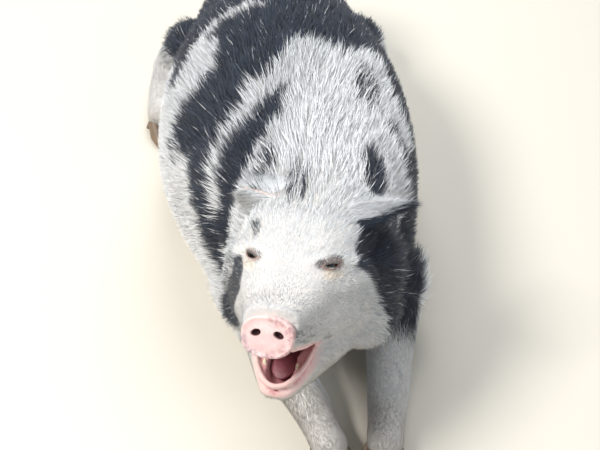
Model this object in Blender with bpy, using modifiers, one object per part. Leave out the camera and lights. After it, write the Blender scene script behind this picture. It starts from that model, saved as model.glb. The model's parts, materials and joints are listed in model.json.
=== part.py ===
"""A life-size sow that lies on her belly with her forelegs stretched out in front of her.

She is a fat, short-faced, bristly farm pig. Her head is raised and turned to her right, mouth open.
The snout points along -Y, her left side is +X and the floor is z = 0. All sizes are in metres.
The flesh is modelled whole from rounded forms that melt into each other, and is then parted with thin cuts.
"""

import math
import random

import bmesh
import bpy
from mathutils import Euler, Matrix, Vector
from mathutils.bvhtree import BVHTree

# Driving sizes of the sow
TRUNK_WIDTH = 0.486
TRUNK_HEIGHT = 0.402
SHOULDER_WIDTH = 0.375
RUMP_WIDTH = 0.265
TAIL_RADIUS = 0.013

# Sizes of the face, with places in the head's own frame: x to her left, y backward and z upward
EYE_RADIUS = 0.0125
EYE_AT = Vector((0.0540, -0.0450, 0.0465))
EYE_LOOKS = Vector((0.45, -0.76, 0.47)).normalized()
LID_THICKNESS = 0.0024
LID_OPENING = (0.0102, 0.0034)
SNOUT_AT = Vector((0, -0.172, -0.003))
SNOUT_TILT = math.radians(20)
SNOUT_WIDTH = 0.078
SNOUT_HEIGHT = 0.058
SNOUT_DEPTH = 0.014
NOSTRIL_APART = 0.032
NOSTRIL_RADII = (0.0076, 0.0090, 0.0050)
MOUTH_CORNER = Vector((0.045, -0.074, -0.056))
UPPER_LIP_AT = Vector((0, -0.156, -0.032))
LOWER_LIP_AT = Vector((0, -0.145, -0.101))
LIP_RADIUS = 0.0050
UPPER_LIP_BEND = 0.75
LOWER_LIP_BEND = 1.15
TOOTH_LENGTH = 0.008

# Ears: where they grow on the head, where they point and which way their backs face in the world
EAR_AT = Vector((0.061, 0.060, 0.093))
EAR_LENGTH = 0.098
EAR_WIDTH = 0.072
EAR_THICKNESS = 0.0055
EAR_POINTS = {1: Vector((0.92, 0.16, 0.10)), -1: Vector((-0.60, 0.70, -0.34))}
EAR_BACKS = {1: Vector((0.00, 0.44, 0.90)), -1: Vector((-0.72, 0.05, 0.68))}

# The long bristles, as flat tapered locks of three tips each: length, width, thickness, how deep the root
# is sunk, how high the tips stand off the skin, and how far apart the locks grow
NECK_LOCK = {"length": 0.125, "width": 0.056, "thickness": 0.0045, "root": 0.01, "lift": 0.02, "apart": 0.07}
BACK_LOCK = {"length": 0.15, "width": 0.084, "thickness": 0.005, "root": 0.011, "lift": 0.02, "apart": 0.11}
CHEEK_LOCK = {"length": 0.062, "width": 0.034, "thickness": 0.0036, "root": 0.007, "lift": 0.012}
LOCK_SEED = 7
LOWEST_LOCK = 0.085
CLEAR_OF_EARS = 0.050

# A lock seen from above, as shares of its length and of half its width
LOCK_ROOT = ((0.00, -0.62), (0.00, 0.62))
LOCK_FORK = ((0.52, -1.00), (0.56, -0.30), (0.58, 0.34), (0.50, 1.00))
MIDDLE_TIP = (1.00, 0.04)
OUTER_TIPS_ASIDE = (-0.80, 0.76)
FORK_HEIGHT = 0.62

# How far round the body the locks grow from its top, the steps in which its skin is followed, and from how
# far outside
ROUND_THE_BODY = math.radians(118)
ROUND_STEP = math.radians(2)
OUTSIDE = 0.6

# The rows of locks run through the body's middle between these places
WITHERS = Vector((0.004, -0.060, 0.215))
RUMP = Vector((-0.006, 0.500, 0.190))

# Each main claw and each dewclaw
CLAW_LENGTH = 0.050
CLAW_RADIUS = 0.0145
DEWCLAW_LENGTH = 0.022
DEWCLAW_RADIUS = 0.0085

# How far in front of the last joint the leg ends and the claws begin
FETLOCK_CUT = 0.016

# The box that parts a foreleg from the body: its width, length and height
FORELEG_BOX = (0.13, 0.30, 0.25)

# Where the head is carried, and how it is turned
HEAD_AT = Vector((-0.020, -0.455, 0.335))
HEAD_NOSE_UP = math.radians(18)
HEAD_TO_HER_RIGHT = math.radians(19)
HEAD_TILT = math.radians(-7)

# How fine the flesh is, and the gap that touching pieces keep
FLESH_VOXEL = 0.0050
BODY_TRIANGLES = 3050
HEAD_TRIANGLES = 6000
HINDLEG_TRIANGLES = 260
MOUTH_VOXEL = 0.004
MOUTH_SHARE = 0.05
GAP = 0.0003

# Brings the floor point under the middle of the whole to the origin
ORIGIN_SHIFT = Vector((0.0150, 0.01459, 0))

HEAD = (
    Matrix.Translation(HEAD_AT)
    @ Matrix.Rotation(-HEAD_TO_HER_RIGHT, 4, "Z")
    @ Matrix.Rotation(HEAD_TILT, 4, "Y")
    @ Matrix.Rotation(-HEAD_NOSE_UP, 4, "X")
)

# The neck meets the trunk on a slope from the withers to the breast, and the head behind the ears and jowls
NECK_CUT = Vector((0, -0.215, 0.26))
NECK_CUT_NORMAL = Vector((0, 0.80, -0.60))
HEAD_CUT = HEAD @ Vector((0, 0.105, 0))
HEAD_CUT_NORMAL = (HEAD.to_3x3() @ Vector((0, 1, 0))).normalized()

MATERIALS = {
    "white_coat": ((0.80, 0.77, 0.72), 0.75),
    "black_coat": ((0.035, 0.038, 0.050), 0.65),
    "pink_skin": ((0.78, 0.47, 0.43), 0.50),
    "mouth_skin": ((0.55, 0.20, 0.22), 0.35),
    "tooth": ((0.85, 0.80, 0.66), 0.30),
    "eye": ((0.06, 0.035, 0.02), 0.08),
    "hoof_horn": ((0.42, 0.34, 0.27), 0.45),
}


def clear_scene():
    for old in list(bpy.data.objects):
        bpy.data.objects.remove(old, do_unlink=True)


def new_collection(name):
    made = bpy.data.collections.new(name)
    bpy.context.scene.collection.children.link(made)
    return made


def material(name):
    """The coat, skin or horn of that name, made once."""
    found = bpy.data.materials.get(name)
    if found:
        return found
    (red, green, blue), roughness = MATERIALS[name]
    made = bpy.data.materials.new(name)
    made.use_nodes = True
    shader = made.node_tree.nodes["Principled BSDF"]
    shader.inputs["Base Color"].default_value = (red, green, blue, 1)
    shader.inputs["Roughness"].default_value = roughness
    shader.inputs["Metallic"].default_value = 0
    return made


def blob(bm, centre, radii, place=Matrix(), turn=(0, 0, 0), fineness=4):
    """An ellipsoid, turned by degrees about X, Y and Z."""
    matrix = place @ Matrix.LocRotScale(Vector(centre), Euler([math.radians(a) for a in turn]), Vector(radii))
    return bmesh.ops.create_icosphere(bm, subdivisions=fineness, radius=1, matrix=matrix)["verts"]


def hull(bm, balls, place=Matrix(), fineness=3):
    """The tight skin round a few balls, each given as x, y, z and radius, as round a limb or a muzzle."""
    skin = bmesh.new()
    for x, y, z, radius in balls:
        bmesh.ops.create_icosphere(
            skin, subdivisions=fineness, radius=radius, matrix=place @ Matrix.Translation((x, y, z))
        )
    bmesh.ops.delete(skin, geom=skin.edges[:], context="EDGES_FACES")
    made = bmesh.ops.convex_hull(skin, input=skin.verts[:])
    spare = {v for v in made["geom_interior"] + made["geom_unused"] if isinstance(v, bmesh.types.BMVert)}
    bmesh.ops.delete(skin, geom=list(spare), context="VERTS")
    add_to(bm, skin)


def add_to(bm, other):
    """Adds the other mesh's shapes to bm, and frees it."""
    carrier = bpy.data.meshes.new("carrier")
    other.to_mesh(carrier)
    other.free()
    bm.from_mesh(carrier)
    bpy.data.meshes.remove(carrier)


def chain(bm, balls, place=Matrix(), fineness=3):
    """A limb that bends from ball to ball."""
    for near, far in zip(balls, balls[1:]):
        hull(bm, (near, far), place, fineness)


def both_sides(balls):
    """Balls given on her left side, with their mirror images, for one form across the middle."""
    return [b for x, y, z, r in balls for b in ((x, y, z, r), (-x, y, z, r))]


def on_side(balls, side):
    """Balls given on her left side, moved to the side asked for: 1 is left and -1 is right."""
    return [(side * x, y, z, r) for x, y, z, r in balls]


def object_from(bm, name, collection):
    mesh = bpy.data.meshes.new(name)
    bm.to_mesh(mesh)
    bm.free()
    made = bpy.data.objects.new(name, mesh)
    collection.objects.link(made)
    return made


def settle(obj):
    """Applies the object's modifiers."""
    graph = bpy.context.evaluated_depsgraph_get()
    graph.update()
    old = obj.data
    settled = bpy.data.meshes.new_from_object(obj.evaluated_get(graph))
    obj.modifiers.clear()
    obj.data = settled
    bpy.data.meshes.remove(old)
    return obj


def sway(y):
    """How far her trunk bends to her left in front of its middle."""
    return 0.026 * max(0.0, (0.13 - y) / 0.40) ** 2 - 0.011


def trunk_forms(bm):
    """Chest, barrel, belly, rump, shoulders and haunches, which the floor cuts flat below."""
    half = TRUNK_WIDTH / 2
    back = TRUNK_HEIGHT
    blob(bm, (0, 0.045, 0.155), (half * 0.97, 0.425, back - 0.155))
    blob(bm, (0, 0.080, 0.095), (half, 0.360, 0.150))
    blob(bm, (0, 0.375, 0.185), (RUMP_WIDTH / 2, 0.200, back - 0.220))
    blob(bm, (0, -0.120, 0.185), (SHOULDER_WIDTH / 2, 0.250, back - 0.200))
    blob(bm, (0, -0.260, 0.165), (0.130, 0.120, 0.135))
    for side in (1, -1):
        blob(bm, (side * 0.088, 0.360, 0.135), (0.092, 0.175, 0.150), turn=(-14, 0, 0))
        blob(bm, (side * 0.158, 0.262, 0.095), (0.073, 0.110, 0.080))
        blob(bm, (side * 0.108, -0.165, 0.180), (0.090, 0.130, 0.172), turn=(-14, 0, 0))
        blob(bm, (side * 0.119 + 0.009, -0.235, 0.100), (0.064, 0.105, 0.088))
    for vert in bm.verts:
        vert.co.x += sway(vert.co.y)


def neck_forms(bm):
    """A short thick neck with a crest, which rises from the shoulders to the back of the head."""
    hull(bm, [(0.022, -0.130, 0.235, 0.155), *in_head([(0, 0.085, -0.015, 0.120)])])
    hull(bm, [(0.000, 0.000, 0.280, 0.110), *in_head([(0, 0.080, 0.035, 0.078)])])
    hull(bm, [(0.032, -0.240, 0.170, 0.122), *in_head([(0, 0.060, -0.075, 0.090)])])


def in_head(balls):
    """Balls given in the head's own frame, moved to where the head is."""
    return [(*(HEAD @ Vector((x, y, z))), r) for x, y, z, r in balls]


def foreleg_joints(side):
    """Elbow, forearm, wrist, cannon and fetlock of a foreleg on the floor. The right one slants inward."""
    if side > 0:
        return [
            (0.160, -0.260, 0.088, 0.066),
            (0.154, -0.335, 0.066, 0.048),
            (0.144, -0.405, 0.050, 0.0385),
            (0.133, -0.475, 0.037, 0.0345),
            (0.124, -0.522, 0.032, 0.0305),
            (0.117, -0.562, 0.033, 0.0315),
        ]
    return [
        (-0.092, -0.258, 0.086, 0.066),
        (-0.066, -0.342, 0.065, 0.048),
        (-0.036, -0.418, 0.050, 0.0385),
        (-0.002, -0.482, 0.037, 0.0345),
        (0.014, -0.526, 0.032, 0.0305),
        (0.026, -0.562, 0.033, 0.0315),
    ]


def hindleg_joints(side):
    """Haunch, hock, cannon and fetlock of a folded hind leg, foot forward. The left one is further in."""
    out = 0.000 if side > 0 else 0.030
    return on_side(
        [
            (0.168 + out * 0.6, 0.440, 0.090, 0.070),
            (0.212 + out, 0.435, 0.050, 0.042),
            (0.232 + out, 0.372, 0.036, 0.0320),
            (0.236 + out, 0.315, 0.031, 0.0295),
            (0.234 + out, 0.282, 0.032, 0.0305),
        ],
        side,
    )


def leg_forms(bm):
    """The forelegs, and the hocks that the hind legs grow from."""
    for side in (1, -1):
        chain(bm, foreleg_joints(side))
        chain(bm, hindleg_joints(side)[:2])


def hindleg_forms(side):
    """The folded part of one hind leg, as one form that starts a little thinner inside the hock."""
    hock, *rest = hindleg_joints(side)[1:]
    x, y, z = Vector(hock[:3]).lerp(Vector(rest[0][:3]), 0.3)
    return lambda bm: chain(bm, [(x, y, z, hock[3] * 0.74), *rest])


def head_forms(bm):
    """Muzzle, skull, brows, cheeks, jowls, throat and the opened lower jaw."""
    snout_end = [(0.0165, -0.160, 0.007, 0.0205), (0.0165, -0.156, -0.009, 0.0205)]
    bridge = [(0.024, -0.100, -0.002, 0.035)]
    between_eyes = [(0.034, -0.045, 0.006, 0.047)]
    hull(bm, both_sides(snout_end + bridge), HEAD)
    hull(bm, both_sides(bridge + between_eyes), HEAD)
    crown = [(0.040, 0.030, 0.036, 0.062), (0.036, 0.080, 0.030, 0.072)]
    hull(bm, both_sides(between_eyes + crown), HEAD)
    jaw = [(0.013, -0.134, -0.1170, 0.0130), (0.032, -0.084, -0.099, 0.0230), (0.052, -0.030, -0.080, 0.036)]
    hull(bm, both_sides(jaw), HEAD)
    blob(bm, (0, 0.020, -0.080), (0.100, 0.095, 0.056), HEAD)
    for side in (1, -1):
        brow = [(0.026, -0.048, 0.048, 0.016), (0.056, -0.038, 0.053, 0.015), (0.082, -0.018, 0.036, 0.022)]
        cheekbone = [(0.050, -0.058, 0.010, 0.026), (0.080, -0.010, 0.012, 0.036)]
        lip = [(0.021, -0.14, -0.019, 0.0175), (0.042, -0.088, -0.026, 0.027), (0.06, -0.03, -0.022, 0.044)]
        for form in (brow, cheekbone, lip):
            hull(bm, on_side(form, side), HEAD)
        cheek = [(0.074, 0.000, -0.012, 0.046), (0.084, 0.030, -0.040, 0.054), (0.080, 0.075, -0.010, 0.058)]
        hull(bm, on_side(cheek, side), HEAD)
        blob(bm, (side * 0.086, 0.034, -0.066), (0.055, 0.074, 0.058), HEAD)


# Each stage melts its forms into the flesh so far, with its voxel and its rounds of smoothing
FLESH_STAGES = (
    ((trunk_forms,), 0.012, 30),
    ((neck_forms,), 0.010, 16),
    ((leg_forms, head_forms), FLESH_VOXEL, 9),
)


def flesh(name, stages, collection):
    """The forms of all the stages, melted into one smooth closed body."""
    obj = object_from(bmesh.new(), name, collection)
    for forms, voxel, smoothing in stages:
        bm = bmesh.new()
        bm.from_mesh(obj.data)
        for form in forms:
            form(bm)
        bm.to_mesh(obj.data)
        bm.free()
        melt = obj.modifiers.new("melt", "REMESH")
        melt.mode = "VOXEL"
        melt.voxel_size = voxel
        soften = obj.modifiers.new("soften", "SMOOTH")
        soften.factor = 0.5
        soften.iterations = smoothing
        settle(obj)
    return obj


def thinned(obj, name, triangles, collection):
    """A copy of the object with about that many triangles."""
    made = copy_of(obj, name, collection)
    thin = made.modifiers.new("thin", "DECIMATE")
    thin.ratio = triangles / (2 * len(made.data.polygons))
    thin.use_collapse_triangulate = True
    return settle(made)


def keep_side(obj, point, normal):
    """Cuts the object flat through the point, keeps the side that the normal leaves, and closes it."""
    bm = bmesh.new()
    bm.from_mesh(obj.data)
    geometry = bm.verts[:] + bm.edges[:] + bm.faces[:]
    cut = bmesh.ops.bisect_plane(
        bm, geom=geometry, dist=1e-6, plane_co=point, plane_no=normal, clear_outer=True
    )["geom_cut"]
    edges = [e for e in cut if isinstance(e, bmesh.types.BMEdge)]
    bmesh.ops.holes_fill(bm, edges=edges, sides=0)
    bmesh.ops.triangulate(bm, faces=[f for f in bm.faces if len(f.verts) > 3])
    bm.to_mesh(obj.data)
    bm.free()
    return obj


def copy_of(obj, name, collection):
    made = obj.copy()
    made.data = obj.data.copy()
    made.name = name
    collection.objects.link(made)
    return made


def combine(obj, others, operation, solvers=("EXACT", "MANIFOLD"), one_surface=True):
    """Joins, cuts or crosses the object with the others, which are then removed. The next solver steps in."""
    group = bpy.data.collections.new("operands")
    bpy.context.scene.collection.children.link(group)
    for other in others:
        for home in other.users_collection:
            home.objects.unlink(other)
        group.objects.link(other)
    before = obj.data.copy()
    for solver in solvers:
        step = obj.modifiers.new("combine", "BOOLEAN")
        step.operation = operation
        step.operand_type = "COLLECTION"
        step.collection = group
        step.solver = solver
        settle(obj)
        if closed(obj.data):
            break
        if solver != solvers[-1]:
            obj.data = before.copy()
    for other in list(group.objects):
        bpy.data.objects.remove(other, do_unlink=True)
    bpy.data.collections.remove(group)
    return keep_largest(obj) if one_surface else obj


def closed(mesh):
    """Whether the mesh has faces and each of its edges joins two of them."""
    bm = bmesh.new()
    bm.from_mesh(mesh)
    bmesh.ops.remove_doubles(bm, verts=bm.verts[:], dist=1e-6)
    sound = len(bm.faces) > 3 and all(len(edge.link_faces) == 2 for edge in bm.edges)
    bm.free()
    return sound


def keep_largest(obj):
    """Drops loose scraps and sealed hollows, and keeps the largest closed surface."""
    bm = bmesh.new()
    bm.from_mesh(obj.data)
    bmesh.ops.remove_doubles(bm, verts=bm.verts[:], dist=1e-6)
    bmesh.ops.triangulate(bm, faces=[f for f in bm.faces if len(f.verts) > 3])
    unseen = set(bm.faces)
    surfaces = []
    while unseen:
        surface = {unseen.pop()}
        edge_of_it = list(surface)
        while edge_of_it:
            face = edge_of_it.pop()
            for edge in face.edges:
                for other in edge.link_faces:
                    if other in unseen:
                        unseen.discard(other)
                        surface.add(other)
                        edge_of_it.append(other)
        surfaces.append(surface)
    largest = max(surfaces, key=len)
    bmesh.ops.delete(bm, geom=[f for f in bm.faces if f not in largest], context="FACES")
    bm.to_mesh(obj.data)
    bm.free()
    return obj


def grown(obj, by, collection):
    """A copy of the object a little larger all round, to cut its neighbour clear of it."""
    made = copy_of(obj, obj.name + "_grown", collection)
    bm = bmesh.new()
    bm.from_mesh(made.data)
    bm.normal_update()
    for vert, normal in [(v, v.normal.copy()) for v in bm.verts]:
        vert.co += normal * by
    bm.to_mesh(made.data)
    bm.free()
    return made


def block(name, centre, size, direction, collection):
    """A box whose own Y axis points along the direction, as a cutter."""
    bm = bmesh.new()
    turn = Vector(direction).to_track_quat("Y", "Z").to_matrix().to_4x4()
    matrix = Matrix.Translation(centre) @ turn @ Matrix.Diagonal((*size, 1))
    bmesh.ops.create_cube(bm, size=1, matrix=matrix)
    return object_from(bm, name, collection)


def finish(obj, material_name):
    obj.data.materials.clear()
    obj.data.materials.append(material(material_name))
    obj.data.shade_smooth()
    obj.data.set_sharp_from_angle(angle=math.radians(40))
    return obj


def tube(points, radii, sides=8):
    """A closed round bar through the points, as wide at each as its radius says."""
    bm = bmesh.new()
    rings = []
    for index, (point, radius) in enumerate(zip(points, radii)):
        before = points[max(index - 1, 0)]
        after = points[min(index + 1, len(points) - 1)]
        turn = (after - before).to_track_quat("Z", "Y")
        ring = []
        for step in range(sides):
            angle = 2 * math.pi * step / sides
            ring.append(bm.verts.new(point + turn @ Vector((math.cos(angle), math.sin(angle), 0)) * radius))
        rings.append(ring)
    for near, far in zip(rings, rings[1:]):
        for step in range(sides):
            following = (step + 1) % sides
            bm.faces.new((near[step], near[following], far[following], far[step]))
    bm.faces.new(rings[0][::-1])
    bm.faces.new(rings[-1])
    bmesh.ops.recalc_face_normals(bm, faces=bm.faces[:])
    bmesh.ops.triangulate(bm, faces=bm.faces[:])
    return bm


def bent_line(ends, middle, steps):
    """Points of a smooth bend between two ends, pulled toward the middle point."""
    start, end = ends
    pull = middle * 2 - (start + end) / 2
    line = []
    for step in range(steps + 1):
        t = step / steps
        line.append(start * (1 - t) ** 2 + pull * 2 * t * (1 - t) + end * t**2)
    return line


def lip_line(middle, bend, steps=10):
    """Points of a lip from her right mouth corner to her left one. A low bend is rounder."""
    left = MOUTH_CORNER
    hinge = Vector((0, left.y, left.z))
    points = []
    for step in range(steps + 1):
        angle = math.pi * step / steps
        across = -math.cos(angle)
        forward = max(0.0, math.sin(angle)) ** bend
        points.append(hinge + Vector((across * left.x, 0, 0)) + (middle - hinge) * forward)
    return points


def eye_turn(side):
    """The eye's own axes: Y looks out of the eye, X runs along its lids."""
    looks = Vector((side * EYE_LOOKS.x, EYE_LOOKS.y, EYE_LOOKS.z))
    return looks.to_track_quat("Y", "Z").to_matrix().to_4x4()


def eye_place(side):
    """Where the eyeball sits in the world, with its own axes."""
    at = Vector((side * EYE_AT.x, EYE_AT.y, EYE_AT.z))
    return HEAD @ Matrix.Translation(at) @ eye_turn(side)


def make_face(head, cutters):
    """Opens the mouth, rolls the lips, and sinks the eyes between their lids."""
    lips = []
    for middle, bend, name in (
        (UPPER_LIP_AT, UPPER_LIP_BEND, "upper_lip"),
        (LOWER_LIP_AT, LOWER_LIP_BEND, "lower_lip"),
    ):
        line = [HEAD @ point for point in lip_line(middle, bend)]
        last = len(line) - 1
        thickness = [LIP_RADIUS * (0.75 + 0.25 * math.sin(math.pi * i / last)) for i in range(last + 1)]
        lips.append(object_from(tube(line, thickness), name, cutters))
    lids = []
    for side in (1, -1):
        bm = bmesh.new()
        blob(bm, (0, 0, 0), [EYE_RADIUS + LID_THICKNESS] * 3, eye_place(side), fineness=2)
        lids.append(object_from(bm, "lid_ball", cutters))
    mouth = bmesh.new()
    hinge = MOUTH_CORNER.y + 0.004
    wedge = [
        Vector((0.12, hinge, MOUTH_CORNER.z)),
        Vector((0.12, UPPER_LIP_AT.y - 0.05, UPPER_LIP_AT.z + 0.010)),
        Vector((0.12, LOWER_LIP_AT.y - 0.06, LOWER_LIP_AT.z - 0.032)),
    ]
    corners = [mouth.verts.new(HEAD @ Vector((side * p.x, p.y, p.z))) for side in (1, -1) for p in wedge]
    bmesh.ops.convex_hull(mouth, input=corners)
    blob(mouth, (0, -0.070, -0.064), (0.031, 0.066, 0.026), HEAD, turn=(-8, 0, 0), fineness=3)
    blob(mouth, (0, -0.102, -0.094), (0.022, 0.044, 0.018), HEAD, turn=(28, 0, 0), fineness=3)
    hollow = object_from(mouth, "mouth_hollow", cutters)
    merge = hollow.modifiers.new("melt", "REMESH")
    merge.mode = "VOXEL"
    merge.voxel_size = MOUTH_VOXEL
    thin = hollow.modifiers.new("thin", "DECIMATE")
    thin.ratio = MOUTH_SHARE
    settle(hollow)
    combine(head, [hollow], "DIFFERENCE")
    combine(head, lips + lids, "UNION")
    holes = []
    for side in (1, -1):
        width, height = LID_OPENING
        opening = bmesh.new()
        blob(opening, (0, EYE_RADIUS, 0), (width, 0.007, height), eye_place(side), fineness=3)
        holes.append(object_from(opening, "lid_opening", cutters))
        ball = bmesh.new()
        blob(ball, (0, 0, 0), [EYE_RADIUS + GAP] * 3, eye_place(side), fineness=3)
        holes.append(object_from(ball, "socket", cutters))
    for hole in holes:
        combine(head, [hole], "DIFFERENCE")


def make_eyes(parts):
    eyes = []
    for side, side_name in ((1, "left"), (-1, "right")):
        bm = bmesh.new()
        blob(bm, (0, 0, 0), [EYE_RADIUS] * 3, eye_place(side), fineness=3)
        eyes.append(object_from(bm, f"eye_{side_name}", parts))
    return eyes


def snout_place():
    """The snout disc's own frame: Y looks out of the disc, Z up along it."""
    turn = Matrix.Rotation(math.pi - SNOUT_TILT, 4, "X") @ Matrix.Rotation(math.pi, 4, "Y")
    return HEAD @ Matrix.Translation(SNOUT_AT) @ turn


def make_snout(parts, cutters):
    """The rhinarium: an upright oval disc with a rolled rim and two nostrils."""
    place = snout_place()
    steps = 26
    layers = (
        (0.95, -SNOUT_DEPTH),
        (0.99, -0.0085),
        (1.00, -0.0040),
        (0.97, -0.0006),
        (0.90, 0.0006),
        (0.78, -0.0008),
        (0.45, 0.0006),
    )
    bm = bmesh.new()
    rings = []
    for size, depth in layers:
        ring = []
        for step in range(steps):
            angle = 2 * math.pi * step / steps
            across, up = math.cos(angle), math.sin(angle)
            squared = (abs(across) ** 2.5 + abs(up) ** 2.5) ** (-1 / 2.5)
            width = SNOUT_WIDTH / 2 * (1 + 0.05 * up)
            ring.append(
                bm.verts.new(
                    place
                    @ Vector((across * squared * width * size, depth, up * squared * SNOUT_HEIGHT / 2 * size))
                )
            )
        rings.append(ring)
    for near, far in zip(rings, rings[1:]):
        for step in range(steps):
            following = (step + 1) % steps
            bm.faces.new((near[step], near[following], far[following], far[step]))
    bm.faces.new(rings[0])
    bm.faces.new(rings[-1])
    bmesh.ops.recalc_face_normals(bm, faces=bm.faces[:])
    bmesh.ops.triangulate(bm, faces=bm.faces[:])
    snout = object_from(bm, "snout", parts)
    for side in (1, -1):
        hole = bmesh.new()
        middle = (side * NOSTRIL_APART / 2, 0, 0.003)
        blob(hole, middle, NOSTRIL_RADII, place, turn=(0, side * 22, 0), fineness=2)
        combine(snout, [object_from(hole, "nostril", cutters)], "DIFFERENCE")
    return snout


def make_ear(side, parts):
    """One ear: a pointed leaf, rolled into a cup at its base, that thins toward its edges."""
    points = EAR_POINTS[side].normalized()
    back = EAR_BACKS[side]
    back = (back - points * back.dot(points)).normalized()
    across = points.cross(back).normalized()
    root = HEAD @ Vector((side * EAR_AT.x, EAR_AT.y, EAR_AT.z))
    rows, columns = 9, 6
    front_face, back_face = [], []
    bm = bmesh.new()
    for row in range(rows + 1):
        u = row / rows
        fullness = 0.62 + 0.38 * math.sin(math.pi * min(u * 1.25 + 0.15, 1))
        half = max(EAR_WIDTH / 2 * (1 - u**2.2) ** 0.62 * fullness, 0.0035)
        cup = 0.022 * (1 - u) ** 1.2 + 0.006
        droop = -0.016 * u**2
        fronts, backs = [], []
        for column in range(columns + 1):
            v = 2 * column / columns - 1
            middle = root + points * (EAR_LENGTH * u - 0.012) + across * (half * v)
            middle += back * (droop - cup * v**2)
            thick = EAR_THICKNESS / 2 * (1 - 0.55 * abs(v) ** 3) * (1 - 0.35 * u)
            fronts.append(bm.verts.new(middle - back * thick))
            backs.append(bm.verts.new(middle + back * thick))
        front_face.append(fronts)
        back_face.append(backs)
    for row in range(rows):
        for column in range(columns):
            for grid in (front_face, back_face):
                a, b = grid[row][column], grid[row][column + 1]
                c, d = grid[row + 1][column + 1], grid[row + 1][column]
                bm.faces.new((a, b, c))
                bm.faces.new((a, c, d))
    around = [(row, 0) for row in range(rows)]
    around += [(rows, column) for column in range(columns)]
    around += [(row, columns) for row in range(rows, 0, -1)]
    around += [(0, column) for column in range(columns, 0, -1)]
    for (r1, c1), (r2, c2) in zip(around, around[1:] + around[:1]):
        bm.faces.new((front_face[r1][c1], front_face[r2][c2], back_face[r2][c2], back_face[r1][c1]))
    bmesh.ops.recalc_face_normals(bm, faces=bm.faces[:])
    bmesh.ops.triangulate(bm, faces=[f for f in bm.faces if len(f.verts) > 3])
    return object_from(bm, "ear_left" if side > 0 else "ear_right", parts)


def make_tail(parts):
    """A thin tail that hangs down over the rump."""
    points = bent_line(
        (Vector((-0.006, 0.530, 0.275)), Vector((0.006, 0.590, 0.085))), Vector((-0.004, 0.590, 0.195)), 9
    )
    radii = [TAIL_RADIUS * (1 - 0.55 * i / 9) for i in range(10)]
    return object_from(tube(points, radii, 10), "tail", parts)


def make_tongue(parts):
    bm = bmesh.new()
    blob(bm, (0, -0.080, -0.0850), (0.0180, 0.045, 0.0080), HEAD, turn=(24, 0, 0), fineness=2)
    return object_from(bm, "tongue", parts)


def make_teeth(parts):
    """A short lower tooth on each side, just inside the lip."""
    teeth = []
    for side, side_name in ((1, "left"), (-1, "right")):
        root = Vector((side * 0.0245, -0.110, -0.0990))
        tip = root + Vector((side * 0.002, -0.002, 1.0)).normalized() * (TOOTH_LENGTH + 0.010)
        points = [HEAD @ root.lerp(tip, t) for t in (0, 0.35, 0.7, 1)]
        bm = tube(points, [0.0040, 0.0038, 0.0028, 0.0010], 8)
        teeth.append(object_from(bm, f"tooth_{side_name}", parts))
    return teeth


def make_claws(leg_name, joints, parts, cutters):
    """Two main claws in front of the fetlock and two small dewclaws behind it, all above the floor."""
    before, last = Vector(joints[-2][:3]), Vector(joints[-1][:3])
    ahead = Vector(((last - before).x, (last - before).y, 0)).normalized()
    left = Vector((0, 0, 1)).cross(ahead)
    start = last + ahead * FETLOCK_CUT
    claws = []
    for which, name in ((1, "inner"), (-1, "outer")):
        inward = left * which
        root = start + inward * (CLAW_RADIUS + 0.0010)
        bm = bmesh.new()
        middle = root + ahead * CLAW_LENGTH * 0.45 - inward * 0.001
        tip = root + ahead * CLAW_LENGTH - inward * 0.006
        balls = [
            (root.x, root.y, 0.022, CLAW_RADIUS),
            (root.x, root.y, 0.010, CLAW_RADIUS),
            (middle.x, middle.y, 0.009, CLAW_RADIUS * 0.92),
            (tip.x, tip.y, 0.005, CLAW_RADIUS * 0.42),
        ]
        hull(bm, balls, fineness=1)
        claw = object_from(bm, f"claw_{name}_{leg_name}", parts)
        keep_side(claw, (0, 0, 0), (0, 0, -1))
        keep_side(claw, start + ahead * GAP / 2, -ahead)
        keep_side(claw, start + inward * 0.0008, -inward)
        claws.append(claw)
    for which, name in ((1, "inner"), (-1, "outer")):
        inward = left * which
        root = last - ahead * 0.012 + inward * 0.020
        tip = root + ahead * DEWCLAW_LENGTH * 0.8 + inward * 0.012
        bm = bmesh.new()
        balls = [(root.x, root.y, 0.014, DEWCLAW_RADIUS), (tip.x, tip.y, 0.009, DEWCLAW_RADIUS * 0.5)]
        hull(bm, balls, fineness=1)
        claw = object_from(bm, f"dewclaw_{name}_{leg_name}", parts)
        keep_side(claw, (0, 0, 0), (0, 0, -1))
        claws.append(claw)
    return claws


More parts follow.
